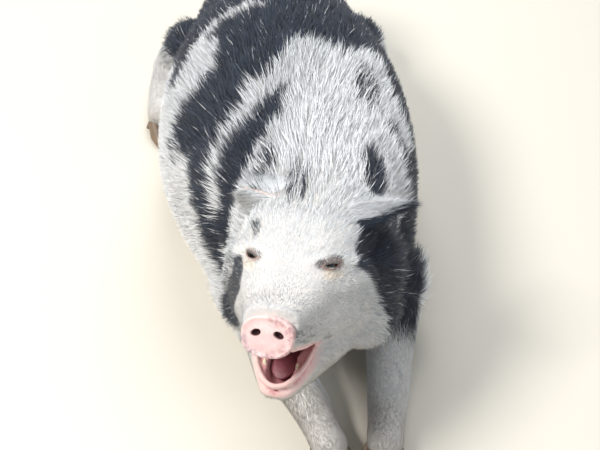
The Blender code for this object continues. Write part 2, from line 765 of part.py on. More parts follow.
def part_body(body, parts, cutters):
    """Parts the whole body into torso, neck and legs. The head's share in front of the neck is dropped."""
    keep_side(body, (0, 0, 0), (0, 0, -1))
    legs = []
    for side, side_name in ((1, "left"), (-1, "right")):
        joints = foreleg_joints(side)
        start, knee, end = (Vector(joints[i][:3]) for i in (1, 2, -1))
        along = Vector(((end - start).x, (end - start).y, 0)).normalized()
        width, length, height = FORELEG_BOX
        centre = start.lerp(knee, 0.55) + along * (length / 2)
        centre.z = 0.0
        leg = copy_of(body, f"foreleg_{side_name}", parts)
        combine(leg, [block("leg_region", centre + along * GAP, FORELEG_BOX, along, cutters)], "INTERSECT")
        legs.append(leg)
        wider = (width + 2 * GAP, length, height + 2 * GAP)
        combine(body, [block("leg_cut", centre, wider, along, cutters)], "DIFFERENCE")
        whole_leg = flesh("whole_leg", (((hindleg_forms(side),), FLESH_VOXEL, 9),), cutters)
        leg = thinned(whole_leg, f"hindleg_{side_name}", HINDLEG_TRIANGLES, parts)
        bpy.data.objects.remove(whole_leg, do_unlink=True)
        keep_side(leg, (0, 0, 0), (0, 0, -1))
        legs.append(leg)
    for leg, joints in zip(legs, [j(side) for side in (1, -1) for j in (foreleg_joints, hindleg_joints)]):
        before, end = Vector(joints[-2][:3]), Vector(joints[-1][:3])
        ahead = Vector(((end - before).x, (end - before).y, 0)).normalized()
        keep_side(leg, end + ahead * (FETLOCK_CUT - GAP / 2), ahead)
    neck = copy_of(body, "neck", parts)
    keep_side(body, NECK_CUT + NECK_CUT_NORMAL * GAP / 2, -NECK_CUT_NORMAL)
    keep_side(neck, NECK_CUT - NECK_CUT_NORMAL * GAP / 2, NECK_CUT_NORMAL)
    keep_side(neck, HEAD_CUT + HEAD_CUT_NORMAL * GAP / 2, -HEAD_CUT_NORMAL)
    return [keep_largest(obj) for obj in (body, neck, *legs)]


def lock_mesh(trees, root, normal, lie, sizes, draw):
    """One flat lock: it rises from under the skin, follows it along its lie, and ends in three tips."""
    lie = (lie - normal * lie.dot(normal)).normalized()
    swing = draw.uniform(-0.12, 0.12)
    first, last = OUTER_TIPS_ASIDE
    tips = [(draw.uniform(0.74, 0.90), first), MIDDLE_TIP, (draw.uniform(0.76, 0.92), last)]
    outline = {"root": LOCK_ROOT, "fork": LOCK_FORK, "tips": tips}
    heights = {"root": -sizes["root"], "fork": FORK_HEIGHT * sizes["lift"], "tips": sizes["lift"]}
    bm = bmesh.new()
    upper, lower = {}, {}
    for part, points in outline.items():
        upper[part], lower[part] = [], []
        for along, aside in points:
            bent = swing * along**2 * sizes["length"]
            reach = lie * sizes["length"] * along + normal.cross(lie) * (bent + aside * sizes["width"] / 2)
            near, facing = nearest_skin(trees, root + reach, normal)
            height = heights[part]
            if part == "fork" and abs(aside) < 0.5:
                height -= sizes["thickness"] * 0.4
            top = bm.verts.new(near + facing * height)
            upper[part].append(top)
            if part == "tips":
                lower[part].append(top)
            else:
                lower[part].append(bm.verts.new(top.co - facing * sizes["thickness"]))
    for sheet in (upper, lower):
        root_a, root_b = sheet["root"]
        fork, tips = sheet["fork"], sheet["tips"]
        faces = [(root_a, fork[0], fork[1]), (root_a, fork[1], root_b), (root_b, fork[1], fork[2])]
        faces += [(root_b, fork[2], fork[3]), *((fork[k], tips[k], fork[k + 1]) for k in range(3))]
        for face in faces:
            bm.faces.new(face if sheet is upper else face[::-1])
    around = []
    for sheet in (upper, lower):
        (root_a, root_b), fork, tips = sheet["root"], sheet["fork"], sheet["tips"]
        around.append([root_a, fork[0], tips[0], fork[1], tips[1], fork[2], tips[2], fork[3], root_b])
    count = len(around[0])
    for k in range(count):
        following = (k + 1) % count
        corners = [around[0][k], around[0][following], around[1][following], around[1][k]]
        distinct = list(dict.fromkeys(corners))
        if len(distinct) > 2:
            bm.faces.new(distinct)
    bmesh.ops.recalc_face_normals(bm, faces=bm.faces[:])
    bmesh.ops.triangulate(bm, faces=[f for f in bm.faces if len(f.verts) > 3])
    return bm


def nearest_skin(trees, point, facing):
    """The point of the skin nearest to the given one, and which way the skin faces there."""
    found = []
    for _, tree in trees:
        near, normal, _, distance = tree.find_nearest(point)
        if normal.dot(facing) > 0.2:
            found.append((distance, near, normal))
    if not found:
        return point, facing
    _, near, normal = min(found, key=lambda hit: hit[0])
    return near, (normal + facing * 0.6).normalized()


def skin_of(objects):
    """One tree of the skin of each object, to find where a lock roots."""
    trees = []
    for obj in objects:
        bm = bmesh.new()
        bm.from_mesh(obj.data)
        trees.append((obj, BVHTree.FromBMesh(bm)))
        bm.free()
    return trees


def rooted(trees, inside, outward):
    """The outermost skin that a line from inside meets: the object, the point and the way the skin faces."""
    hits = []
    for obj, tree in trees:
        point, normal, _, distance = tree.ray_cast(inside + outward * OUTSIDE, -outward, OUTSIDE)
        if point is not None:
            hits.append((distance, obj, point, normal))
    if not hits:
        return None
    _, obj, point, normal = min(hits, key=lambda hit: hit[0])
    return obj, point, (normal + outward * 0.5).normalized()


def coat_locks(trees, cutters):
    """Locks from the poll over the neck, withers, back and flanks to the rump, in rows that flow backward."""
    draw = random.Random(LOCK_SEED)
    nape = HEAD @ Vector((0, 0.125, -0.015))
    ears = [HEAD @ Vector((side * EAR_AT.x, EAR_AT.y, EAR_AT.z)) for side in (1, -1)]
    made = {obj.name: [] for obj, _ in trees}
    for start, end, sizes in ((nape, WITHERS, NECK_LOCK), (WITHERS, RUMP, BACK_LOCK)):
        rows = round((end - start).length / sizes["apart"])
        for row in range(rows):
            centre = start.lerp(end, row / (rows if sizes is NECK_LOCK else rows - 1))
            along_body = (end - start).normalized()
            for angle, outward in row_of_roots(trees, centre, sizes["apart"], row % 2):
                found = rooted(trees, centre, outward)
                if not found:
                    continue
                obj, point, normal = found
                tip = point + along_body * sizes["length"]
                near_ear = any(min((point - ear).length, (tip - ear).length) < CLEAR_OF_EARS for ear in ears)
                if obj.name == "head" or near_ear or point.z < LOWEST_LOCK:
                    continue
                lie = along_body + Vector((math.sin(angle), 0, -abs(math.sin(angle)))) * 0.35
                lie += Vector((draw.uniform(-0.16, 0.16), 0, draw.uniform(-0.06, 0.06)))
                lock = dict(sizes)
                lock["length"] *= draw.uniform(0.88, 1.12)
                lock["lift"] *= draw.uniform(0.85, 1.1)
                mesh = lock_mesh(trees, point, normal, lie, lock, draw)
                made[obj.name].append(object_from(mesh, "lock", cutters))
    return made


def row_of_roots(trees, centre, apart, shifted):
    """Directions from the body's middle at which the locks of one row root, evenly spaced over the skin."""
    found = []
    for side in (1, -1):
        angle = 0.0
        last = None
        reached = apart / 2 if shifted else 0.0
        while abs(angle) < ROUND_THE_BODY:
            outward = Vector((math.sin(angle), 0, math.cos(angle)))
            hit = rooted(trees, centre, outward)
            if hit:
                if last is not None:
                    reached += (hit[1] - last).length
                elif side > 0 and not shifted:
                    found.append((angle, outward))
                last = hit[1]
                if reached >= apart:
                    found.append((angle, outward))
                    reached = 0.0
            angle += side * ROUND_STEP
    return found


def cheek_locks(trees, cutters):
    """The fringe on the cheeks and jowls, which flows backward and down."""
    draw = random.Random(LOCK_SEED + 1)
    made = []
    inside = HEAD @ Vector((0, 0.030, -0.040))
    turn = HEAD.to_3x3()
    for side in (1, -1):
        for row in range(3):
            for place in range(2):
                back = math.radians(-2 + 21 * (row + draw.uniform(-0.1, 0.1)))
                down = math.radians(-6 - 30 * (place + 0.5 * (row % 2) + draw.uniform(-0.1, 0.1)))
                outward = turn @ Vector(
                    (side * math.cos(down) * math.cos(back), math.sin(back), math.sin(down) * math.cos(back))
                )
                found = rooted(trees, inside, outward.normalized())
                if not found:
                    continue
                obj, point, normal = found
                if obj.name != "head":
                    continue
                lie = turn @ Vector((side * 0.1, 1.0, -0.55 - draw.uniform(0, 0.3)))
                sizes = dict(CHEEK_LOCK)
                sizes["length"] *= draw.uniform(0.85, 1.15)
                mesh = lock_mesh(trees, point, normal, lie, sizes, draw)
                made.append(object_from(mesh, "lock", cutters))
    return made


def grow_locks(obj, locks, neighbours, cutters):
    """Joins the locks to the object, cut clear of its neighbours first."""
    if not locks:
        return obj
    solvers = ("MANIFOLD", "EXACT")
    first, *others = locks
    if others:
        combine(first, others, "UNION", solvers, one_surface=False)
    for neighbour in neighbours:
        combine(first, [grown(neighbour, GAP * 1.3, cutters)], "DIFFERENCE", solvers, one_surface=False)
    return combine(obj, [first], "UNION", solvers)


def clear_of(piece, others, cutters):
    """Cuts the piece clear of each of the others by the gap."""
    for other in others:
        combine(piece, [grown(other, GAP * 1.3, cutters)], "DIFFERENCE")
    return piece


def main():
    clear_scene()
    parts = new_collection("sow")
    cutters = new_collection("cutters")
    whole = flesh("whole", FLESH_STAGES, cutters)
    body = thinned(whole, "torso", BODY_TRIANGLES, parts)
    head = thinned(whole, "head", HEAD_TRIANGLES, parts)
    bpy.data.objects.remove(whole, do_unlink=True)
    keep_side(head, HEAD_CUT - HEAD_CUT_NORMAL * GAP / 2, HEAD_CUT_NORMAL)
    snout_back = HEAD.to_3x3() @ Vector((0, -math.cos(SNOUT_TILT), math.sin(SNOUT_TILT)))
    keep_side(head, HEAD @ SNOUT_AT - snout_back * (SNOUT_DEPTH + GAP), snout_back)
    keep_largest(head)
    make_face(head, cutters)
    torso, neck, *legs = part_body(body, parts, cutters)
    ears = [clear_of(make_ear(side, parts), [head, neck], cutters) for side in (1, -1)]
    trees = skin_of([torso, neck, head])
    coat = coat_locks(trees, cutters)
    cheeks = cheek_locks(trees, cutters)
    grow_locks(torso, coat["torso"], [neck, *legs, *ears], cutters)
    grow_locks(neck, coat["neck"], [torso, head, *legs, *ears], cutters)
    grow_locks(head, cheeks, [neck, torso, *ears], cutters)
    finish(torso, "black_coat")
    for piece in (neck, head, *legs, *ears):
        finish(piece, "white_coat")
    finish(make_snout(parts, cutters), "pink_skin")
    tongue = finish(clear_of(make_tongue(parts), [head], cutters), "mouth_skin")
    for tooth in make_teeth(parts):
        finish(clear_of(tooth, [head, tongue], cutters), "tooth")
    for eye in make_eyes(parts):
        finish(eye, "eye")
    for side, side_name in ((1, "left"), (-1, "right")):
        for kind, joints in (("foreleg", foreleg_joints(side)), ("hindleg", hindleg_joints(side))):
            leg_name = f"{kind}_{side_name}"
            leg = bpy.data.objects[leg_name]
            claws = [clear_of(claw, [leg], cutters) for claw in make_claws(leg_name, joints, parts, cutters)]
            for claw in claws:
                finish(claw, "hoof_horn")
            if kind == "hindleg":
                clear_of(torso, [leg, *claws], cutters)
    finish(clear_of(make_tail(parts), [torso], cutters), "black_coat")
    for mesh in [obj.data for obj in parts.objects]:
        mesh.transform(Matrix.Translation(ORIGIN_SHIFT))


main()
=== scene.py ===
"""The looks of a life-size sow that lies on her belly, with her head raised and her mouth open.

One skin covers her whole body, and her bristles are solid tufts that follow the lie of the coat.
The snout points along -Y, her left side is +X and the floor is z = 0. All sizes are in metres.
"""

import json
import math

import bmesh
import bpy
import numpy as np
from mathutils import Euler, Matrix, Vector, kdtree, noise
from mathutils.bvhtree import BVHTree

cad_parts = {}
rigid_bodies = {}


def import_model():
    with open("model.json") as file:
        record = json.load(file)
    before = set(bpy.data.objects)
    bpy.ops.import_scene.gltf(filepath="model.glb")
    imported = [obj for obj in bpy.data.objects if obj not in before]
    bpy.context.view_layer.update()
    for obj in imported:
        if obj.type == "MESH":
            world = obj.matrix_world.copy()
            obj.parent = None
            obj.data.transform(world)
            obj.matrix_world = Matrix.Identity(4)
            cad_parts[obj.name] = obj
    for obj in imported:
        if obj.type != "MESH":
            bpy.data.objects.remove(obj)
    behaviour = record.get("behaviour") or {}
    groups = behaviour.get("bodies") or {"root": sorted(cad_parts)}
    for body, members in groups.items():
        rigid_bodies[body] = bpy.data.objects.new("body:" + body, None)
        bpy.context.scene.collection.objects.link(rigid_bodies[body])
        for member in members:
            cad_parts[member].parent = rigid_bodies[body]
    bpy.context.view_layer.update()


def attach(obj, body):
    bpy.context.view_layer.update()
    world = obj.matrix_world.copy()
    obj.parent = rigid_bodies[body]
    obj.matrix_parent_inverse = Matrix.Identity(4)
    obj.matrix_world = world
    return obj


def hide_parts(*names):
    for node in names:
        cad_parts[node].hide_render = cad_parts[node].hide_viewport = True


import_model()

# Her sizes. Most are those that the solids were built from, but the snout is 3 mm narrower than its solid,
# and its nostrils are 2 mm higher.
TRUNK_WIDTH = 0.486
TRUNK_HEIGHT = 0.402
SHOULDER_WIDTH = 0.375
RUMP_WIDTH = 0.265
TAIL_RADIUS = 0.013
EYE_RADIUS = 0.0125
EYE_AT = Vector((0.0540, -0.0450, 0.0465))
EYE_LOOKS = Vector((0.45, -0.76, 0.47)).normalized()
LID_THICKNESS = 0.0024
LID_OPENING = (0.0102, 0.0034)
LID_OPENING_DEPTH = 0.007
SNOUT_AT = Vector((0, -0.172, -0.003))
SNOUT_TILT = math.radians(20)
SNOUT_WIDTH = 0.075
SNOUT_HEIGHT = 0.058
SNOUT_DEPTH = 0.014
NOSTRIL_APART = 0.032
NOSTRIL_UP = 0.005
NOSTRIL_RADII = (0.0076, 0.0090, 0.0050)
MOUTH_CORNER = Vector((0.045, -0.074, -0.056))
UPPER_LIP_AT = Vector((0, -0.156, -0.032))
LOWER_LIP_AT = Vector((0, -0.145, -0.101))
LIP_RADIUS = 0.0050
UPPER_LIP_BEND = 0.75
LOWER_LIP_BEND = 1.15
TOOTH_LENGTH = 0.008
TOOTH_IN_GUM = 0.010
EAR_AT = Vector((0.061, 0.060, 0.093))
EAR_LENGTH = 0.098
EAR_WIDTH = 0.072
EAR_THICKNESS = 0.0055
EAR_POINTS = {1: Vector((0.92, 0.16, 0.10)), -1: Vector((-0.60, 0.70, -0.34))}
EAR_BACKS = {1: Vector((0.00, 0.44, 0.90)), -1: Vector((-0.72, 0.05, 0.68))}
CLAW_LENGTH = 0.050
CLAW_RADIUS = 0.0145
DEWCLAW_LENGTH = 0.022
DEWCLAW_RADIUS = 0.0085
FETLOCK_CUT = 0.016
HEAD_AT = Vector((-0.020, -0.455, 0.335))
HEAD_NOSE_UP = math.radians(18)
HEAD_TO_HER_RIGHT = math.radians(19)
HEAD_TILT = math.radians(-7)
ORIGIN_SHIFT = Vector((0.0150, 0.01459, 0))

# How much fuller the trunk's skin is than the solids' flesh, under the outer side of their locks
COAT_SWELL = 0.006

GAP = 0.0003

# The plane that cuts the claws flat, as a place and the way that is cut away
FLOOR_CUT = ((0, 0, 0), (0, 0, -1))

SIDES = ((1, "left"), (-1, "right"))

# The cream skin under each eye, as half width, half height and middle
UNDER_EYE = (0.016, 0.008, (0, -0.013))

# How far in front of the eye's middle, and behind it, the marks by the eye reach
EYE_REACH = 0.030

# Where the rings of a tuft stand along it, and how wide it is there
BENT = ((0.0, 1.0), (0.50, 0.90))
STRAIGHT = ((0.0, 1.0),)
LASH = ((0.0, 1.0), (0.35, 0.9), (0.72, 0.6))

# Each coat: its tufts, their rings, their width for their length, how far they lift, how far they gather
# toward the tuft that leads them, and the share of tufts that lead
COATS = {
    "long_bristles": (58000, BENT, 0.0085, 0.52, 0.50, 0.030),
    "fine_bristles": (95000, STRAIGHT, 0.0070, 0.50, 0.35, 0.060),
    "short_bristles": (120000, STRAIGHT, 0.0140, 0.60, 0.30, 0.080),
    "ear_bristles": (9000, STRAIGHT, 0.0130, 1.10, 0.25, 0.050),
}
LASHES = 34

# Bristles shorter than this belong to the short coat
SHORT_COAT = 0.020

TRIANGLES_PER_PIECE = 199000

# How far each tuft reaches on the unwrap to each side of its root
UNWRAP_PATCH = 0.0015

# The head's own frame: x to her left, y backward and z upward
HEAD = (
    Matrix.Translation(HEAD_AT + ORIGIN_SHIFT)
    @ Matrix.Rotation(-HEAD_TO_HER_RIGHT, 4, "Z")
    @ Matrix.Rotation(HEAD_TILT, 4, "Y")
    @ Matrix.Rotation(-HEAD_NOSE_UP, 4, "X")
)
BODY = Matrix.Translation(ORIGIN_SHIFT)

# The voxel of the finished skin, and the ratio that thins its body
SKIN_VOXEL = 0.0036
BODY_SHARE = 0.22

# The camera stands high in front of her, as the photo's does
CAMERA_AT = Vector((-0.12158558, -1.42623747, 1.44866193)) + ORIGIN_SHIFT
CAMERA_TURN = Matrix(
    (
        (0.99704725, 0.03417030, -0.06876902),
        (-0.07234420, 0.71828635, -0.69197618),
        (0.02575081, 0.69490798, 0.71863746),
    )
)
CAMERA_LENS = 60


def linear(hex_colour):
    """A colour written as sRGB hex, as the linear values that shaders take."""
    parts = [int(hex_colour[i : i + 2], 16) / 255 for i in (1, 3, 5)]
    return tuple(c / 12.92 if c <= 0.04045 else ((c + 0.055) / 1.055) ** 2.4 for c in parts) + (1.0,)


# What a Mix node needs, to mix colours
IN_COLOUR = {"output": 2, "data_type": "RGBA"}


def add_node(tree, kind, inputs, output=0, **settings):
    """Adds a node and gives the socket it puts out. Each input takes a value, or such a socket."""
    node = tree.nodes.new(kind)
    for name, value in settings.items():
        setattr(node, name, value)
    for key, value in inputs.items():
        if isinstance(value, bpy.types.NodeSocket):
            tree.links.new(value, node.inputs[key])
        else:
            node.inputs[key].default_value = value
    return node.outputs[output]


def per_metre(millimetres):
    """The scale of a pattern whose cells have that real size."""
    return 1000 / millimetres


def new_material(name, **surface):
    """A material with a Principled shader set to the given values."""
    made = bpy.data.materials.new(name)
    made.use_nodes = True
    shader = made.node_tree.nodes["Principled BSDF"]
    for key, value in surface.items():
        shader.inputs[key.replace("_", " ")].default_value = value
    return made, made.node_tree, shader


def bristle_material():
    """Coarse hair of a farm pig: cool creamy white or blue-black, with dust and a painted sheen at the tips,
    and a dull gloss.
    """
    made, tree, shader = new_material("coarse pig bristle", Roughness=0.52, Metallic=0.0, IOR=1.55)
    dark, tone, along, warm = (
        add_node(tree, "ShaderNodeAttribute", {}, "Fac", attribute_name=name)
        for name in ("dark", "tone", "along", "warm")
    )
    near_root = {"Value": along, "From Max": 0.5, "To Min": 0.22, "To Max": 0.0}
    root = add_node(tree, "ShaderNodeMapRange", near_root)
    # Black hair turns grey-blue toward its tips: partly dust, partly a painted sheen
    tip = add_node(tree, "ShaderNodeMapRange", {"Value": along, "From Min": 0.5, "To Max": 0.30})
    white = linear("#BABEC3")
    for factor, shade in ((tone, "#FDFEFF"), (root, "#B3ACA8"), (warm, "#B49A72")):
        white = add_node(tree, "ShaderNodeMix", {0: factor, 6: white, 7: linear(shade)}, **IN_COLOUR)
    black = linear("#0F141D")
    for factor, shade in ((tone, "#344056"), (tip, "#66727F")):
        black = add_node(tree, "ShaderNodeMix", {0: factor, 6: black, 7: linear(shade)}, **IN_COLOUR)
    colour = add_node(tree, "ShaderNodeMix", {0: dark, 6: white, 7: black}, **IN_COLOUR)
    tree.links.new(colour, shader.inputs["Base Color"])
    return made


def skin_material():
    """Pig skin: creased, pale under white hair, slate under black, pink where bare and wet in the mouth, with
    painted shade far back in the mouth.
    """
    made, tree, shader = new_material("pig skin", Roughness=0.55, Metallic=0.0, IOR=1.42)
    place = add_node(tree, "ShaderNodeTexCoord", {}, "Object")
    blotches = {"Vector": place, "Scale": per_metre(26), "Detail": 5.0, "Roughness": 0.6}
    cloud = add_node(tree, "ShaderNodeTexNoise", blotches)
    fade = {}
    for name in ("bare", "dark", "lid", "cream", "deep", "wet"):
        fade[name] = add_node(tree, "ShaderNodeAttribute", {}, "Fac", attribute_name=name)
    shades = {
        "under": ("#B9B4AF", "#D6D2CD"),
        "bare": ("#CFA6A0", "#EBCFC9"),
        "dark": ("#1E2026", "#3A3D46"),
        "lid": ("#4B423F", "#86695C"),
        "cream": ("#D9C9B4", "#F0E6D6"),
        "wet": ("#C08488", "#E2B2B1"),
        # Painted shade far back in the mouth
        "deep": ("#5A222C", "#9A545E"),
    }
    look = {}
    for name, (dull, bright) in shades.items():
        mix = {0: cloud, 6: linear(dull), 7: linear(bright)}
        look[name] = add_node(tree, "ShaderNodeMix", mix, **IN_COLOUR)
    # Painted shade: the wet skin turns dark red far behind the lips
    mouth = {0: fade["deep"], 6: look["wet"], 7: look["deep"]}
    look["wet"] = add_node(tree, "ShaderNodeMix", mouth, **IN_COLOUR)
    colour = look["under"]
    for name in ("bare", "dark", "cream", "lid", "wet"):
        colour = add_node(tree, "ShaderNodeMix", {0: fade[name], 6: colour, 7: look[name]}, **IN_COLOUR)
    tree.links.new(colour, shader.inputs["Base Color"])
    gloss = add_node(tree, "ShaderNodeMapRange", {"Value": fade["wet"], "To Min": 0.58, "To Max": 0.22})
    tree.links.new(gloss, shader.inputs["Roughness"])
    # Real creases of pig skin are 1 to 2 mm apart; these are a little coarser, so that they show
    cells = {"Vector": place, "Scale": per_metre(2.4)}
    creases = add_node(tree, "ShaderNodeTexVoronoi", cells, feature="DISTANCE_TO_EDGE")
    bump = add_node(tree, "ShaderNodeBump", {"Height": creases, "Distance": 0.0006, "Strength": 0.5})
    tree.links.new(bump, shader.inputs["Normal"])
    return made


def blob(bm, centre, radii, place=Matrix(), turn=(0, 0, 0), fineness=4):
    """An ellipsoid, turned by degrees about X, Y and Z."""
    turned = Euler([math.radians(a) for a in turn])
    matrix = place @ Matrix.LocRotScale(Vector(centre), turned, Vector(radii))
    bmesh.ops.create_icosphere(bm, subdivisions=fineness, radius=1, matrix=matrix)


def hull(bm, balls, place=Matrix(), fineness=3):
    """The tight skin round a few balls, each given as x, y, z and radius, as round a limb or a muzzle."""
    skin = bmesh.new()
    for x, y, z, radius in balls:
        bmesh.ops.create_icosphere(
            skin, subdivisions=fineness, radius=radius, matrix=place @ Matrix.Translation((x, y, z))
        )
    bmesh.ops.delete(skin, geom=skin.edges[:], context="EDGES_FACES")
    made = bmesh.ops.convex_hull(skin, input=skin.verts[:])
    spare = {v for v in made["geom_interior"] + made["geom_unused"] if isinstance(v, bmesh.types.BMVert)}
    bmesh.ops.delete(skin, geom=list(spare), context="VERTS")
    add_to(bm, skin)


def add_to(bm, other):
    """Adds the other mesh's shapes to bm, and frees it."""
    carrier = bpy.data.meshes.new("carrier")
    other.to_mesh(carrier)
    other.free()
    bm.from_mesh(carrier)
    bpy.data.meshes.remove(carrier)


def chain(bm, balls, place=Matrix(), fineness=3):
    """A limb that bends from ball to ball."""
    for near, far in zip(balls, balls[1:]):
        hull(bm, (near, far), place, fineness)


def both_sides(balls):
    return [b for x, y, z, r in balls for b in ((x, y, z, r), (-x, y, z, r))]


def on_side(balls, side):
    return [(side * x, y, z, r) for x, y, z, r in balls]


def sway(y):
    """How far her trunk bends to her left in front of its middle."""
    return 0.026 * max(0.0, (0.13 - y) / 0.40) ** 2 - 0.011


def trunk_forms(bm):
    """Chest, barrel, belly, rump, shoulders and haunches, which the floor cuts flat below."""
    half = TRUNK_WIDTH / 2 + COAT_SWELL
    back = TRUNK_HEIGHT
    trunk = bmesh.new()
    blob(trunk, (0, 0.045, 0.155), (half * 0.97, 0.425, back - 0.155))
    blob(trunk, (0, 0.080, 0.095), (half, 0.360, 0.150))
    blob(trunk, (0, 0.375, 0.185), (RUMP_WIDTH / 2, 0.200, back - 0.220))
    blob(trunk, (0, -0.120, 0.185), (SHOULDER_WIDTH / 2, 0.250, back - 0.200))
    blob(trunk, (0, -0.260, 0.165), (0.130, 0.120, 0.135))
    for side in (1, -1):
        blob(trunk, (side * 0.088, 0.360, 0.135), (0.092, 0.175, 0.150), turn=(-14, 0, 0))
        blob(trunk, (side * 0.158, 0.262, 0.095), (0.073, 0.110, 0.080))
        blob(trunk, (side * 0.108, -0.165, 0.180), (0.090, 0.130, 0.172), turn=(-14, 0, 0))
        blob(trunk, (side * 0.119 + 0.009, -0.235, 0.100), (0.064, 0.105, 0.088))
    for vert in trunk.verts:
        vert.co.x += sway(vert.co.y)
    bmesh.ops.transform(trunk, matrix=BODY, verts=trunk.verts[:])
    add_to(bm, trunk)


def neck_forms(bm):
    """A short thick neck with a crest, which rises from the shoulders to the back of the head."""
    inward = BODY.inverted() @ HEAD
    for near, far in (
        ((0.022, -0.130, 0.235, 0.155), (0, 0.085, -0.015, 0.120)),
        ((0.000, 0.000, 0.280, 0.110), (0, 0.080, 0.035, 0.078)),
        ((0.032, -0.240, 0.170, 0.122), (0, 0.060, -0.075, 0.090)),
    ):
        x, y, z, radius = far
        hull(bm, [near, (*(inward @ Vector((x, y, z))), radius)], BODY)


def foreleg_joints(side):
    """A foreleg on the floor, from elbow to fetlock, each with its radius. The right one slants inward."""
    if side > 0:
        return [
            (0.160, -0.260, 0.088, 0.066),
            (0.154, -0.335, 0.066, 0.048),
            (0.144, -0.405, 0.050, 0.0385),
            (0.133, -0.475, 0.037, 0.0345),
            (0.124, -0.522, 0.032, 0.0305),
            (0.117, -0.562, 0.033, 0.0315),
        ]
    return [
        (-0.092, -0.258, 0.086, 0.066),
        (-0.066, -0.342, 0.065, 0.048),
        (-0.036, -0.418, 0.050, 0.0385),
        (-0.002, -0.482, 0.037, 0.0345),
        (0.014, -0.526, 0.032, 0.0305),
        (0.026, -0.562, 0.033, 0.0315),
    ]


def hindleg_joints(side):
    """Haunch, hock, cannon and fetlock of a folded hind leg, foot forward. The left one is further in."""
    out = 0.000 if side > 0 else 0.030
    return on_side(
        [
            (0.168 + out * 0.6, 0.440, 0.090, 0.070),
            (0.212 + out, 0.435, 0.050, 0.042),
            (0.232 + out, 0.372, 0.036, 0.0320),
            (0.236 + out, 0.315, 0.031, 0.0295),
            (0.234 + out, 0.282, 0.032, 0.0305),
        ],
        side,
    )


def leg_forms(bm):
    for side in (1, -1):
        chain(bm, foreleg_joints(side), BODY)
        chain(bm, hindleg_joints(side), BODY)


def head_forms(bm):
    """Muzzle, skull, brows, cheeks, jowls, throat and the opened lower jaw."""
    snout_end = [(0.0165, -0.160, 0.007, 0.0205), (0.0165, -0.156, -0.009, 0.0205)]
    bridge = [(0.024, -0.100, -0.002, 0.035)]
    between_eyes = [(0.034, -0.045, 0.006, 0.047)]
    hull(bm, both_sides(snout_end + bridge), HEAD)
    hull(bm, both_sides(bridge + between_eyes), HEAD)
    crown = [(0.040, 0.030, 0.036, 0.062), (0.036, 0.080, 0.030, 0.072)]
    hull(bm, both_sides(between_eyes + crown), HEAD)
    jaw = [(0.013, -0.134, -0.117, 0.013), (0.032, -0.084, -0.099, 0.023), (0.052, -0.030, -0.080, 0.036)]
    hull(bm, both_sides(jaw), HEAD)
    blob(bm, (0, 0.020, -0.080), (0.100, 0.095, 0.056), HEAD)
    for side in (1, -1):
        brow = [(0.026, -0.048, 0.048, 0.016), (0.056, -0.038, 0.053, 0.015), (0.082, -0.018, 0.036, 0.022)]
        cheekbone = [(0.050, -0.058, 0.010, 0.026), (0.080, -0.010, 0.012, 0.036)]
        lip = [(0.021, -0.14, -0.019, 0.0175), (0.042, -0.088, -0.026, 0.027), (0.06, -0.03, -0.022, 0.044)]
        cheek = [(0.074, 0.0, -0.012, 0.046), (0.084, 0.030, -0.040, 0.054), (0.080, 0.075, -0.010, 0.058)]
        for form in (brow, cheekbone, lip, cheek):
            hull(bm, on_side(form, side), HEAD)
        blob(bm, (side * 0.086, 0.034, -0.066), (0.055, 0.074, 0.058), HEAD)


def tail_points():
    """The tail's bend, from its root on the rump to its tip."""
    start, middle, end = (
        Vector((-0.006, 0.530, 0.275)),
        Vector((-0.004, 0.590, 0.195)),
        Vector((0.006, 0.590, 0.085)),
    )
    pull = middle * 2 - (start + end) / 2
    steps = 9
    points = []
    for step in range(steps + 1):
        t = step / steps
        point = start * (1 - t) ** 2 + pull * 2 * step / steps * (1 - t) + end * t**2
        points.append((*(point + ORIGIN_SHIFT), TAIL_RADIUS * (1 - 0.55 * t)))
    return points


def tail_and_lids(bm):
    chain(bm, tail_points(), fineness=2)
    for side in (1, -1):
        blob(bm, (0, 0, 0), [EYE_RADIUS + LID_THICKNESS] * 3, eye_place(side))


# Each stage melts its forms into the flesh so far, with its voxel and its rounds of smoothing
FLESH_STAGES = (
    ((trunk_forms,), 0.012, 30),
    ((neck_forms,), 0.010, 16),
    ((leg_forms, head_forms), 0.0050, 9),
)


def object_from(bm, name):
    mesh = bpy.data.meshes.new(name)
    bm.to_mesh(mesh)
    bm.free()
    made = bpy.data.objects.new(name, mesh)
    bpy.context.scene.collection.objects.link(made)
    return made


def settle(obj):
    """Applies the object's modifiers."""
    graph = bpy.context.evaluated_depsgraph_get()
    graph.update()
    settled = bpy.data.meshes.new_from_object(obj.evaluated_get(graph))
    obj.modifiers.clear()
    obj.data = settled
    return obj


def melted(obj, voxel, smoothing):
    """The object's shapes as one skin, smoothed."""
    melt = obj.modifiers.new("melt", "REMESH")
    melt.mode = "VOXEL"
    melt.voxel_size = voxel
    soften = obj.modifiers.new("soften", "SMOOTH")
    soften.factor = 0.5
    soften.iterations = smoothing
    return settle(obj)


def combine(obj, others, operation, solver="MANIFOLD"):
    """Joins or cuts the object with the others, which are then removed."""
    group = bpy.data.collections.new("operands")
    bpy.context.scene.collection.children.link(group)
    for other in others:
        for home in other.users_collection:
            home.objects.unlink(other)
        group.objects.link(other)
    step = obj.modifiers.new("combine", "BOOLEAN")
    step.operation = operation
    step.operand_type = "COLLECTION"
    step.collection = group
    step.solver = solver
    settle(obj)
    for other in list(group.objects):
        bpy.data.objects.remove(other, do_unlink=True)
    bpy.data.collections.remove(group)


def lip_line(middle, bend, steps=20):
    """Points of a lip in the head's frame, from her right mouth corner to her left. A low bend rounds it."""
    left = MOUTH_CORNER
    right = Vector((-left.x, left.y, left.z))
    between = (left + right) / 2
    points = []
    for step in range(steps + 1):
        angle = math.pi * step / steps
        across = -math.cos(angle)
        forward = max(0.0, math.sin(angle)) ** bend
        points.append(between + Vector((across * left.x, 0, 0)) + (middle - between) * forward)
    return points


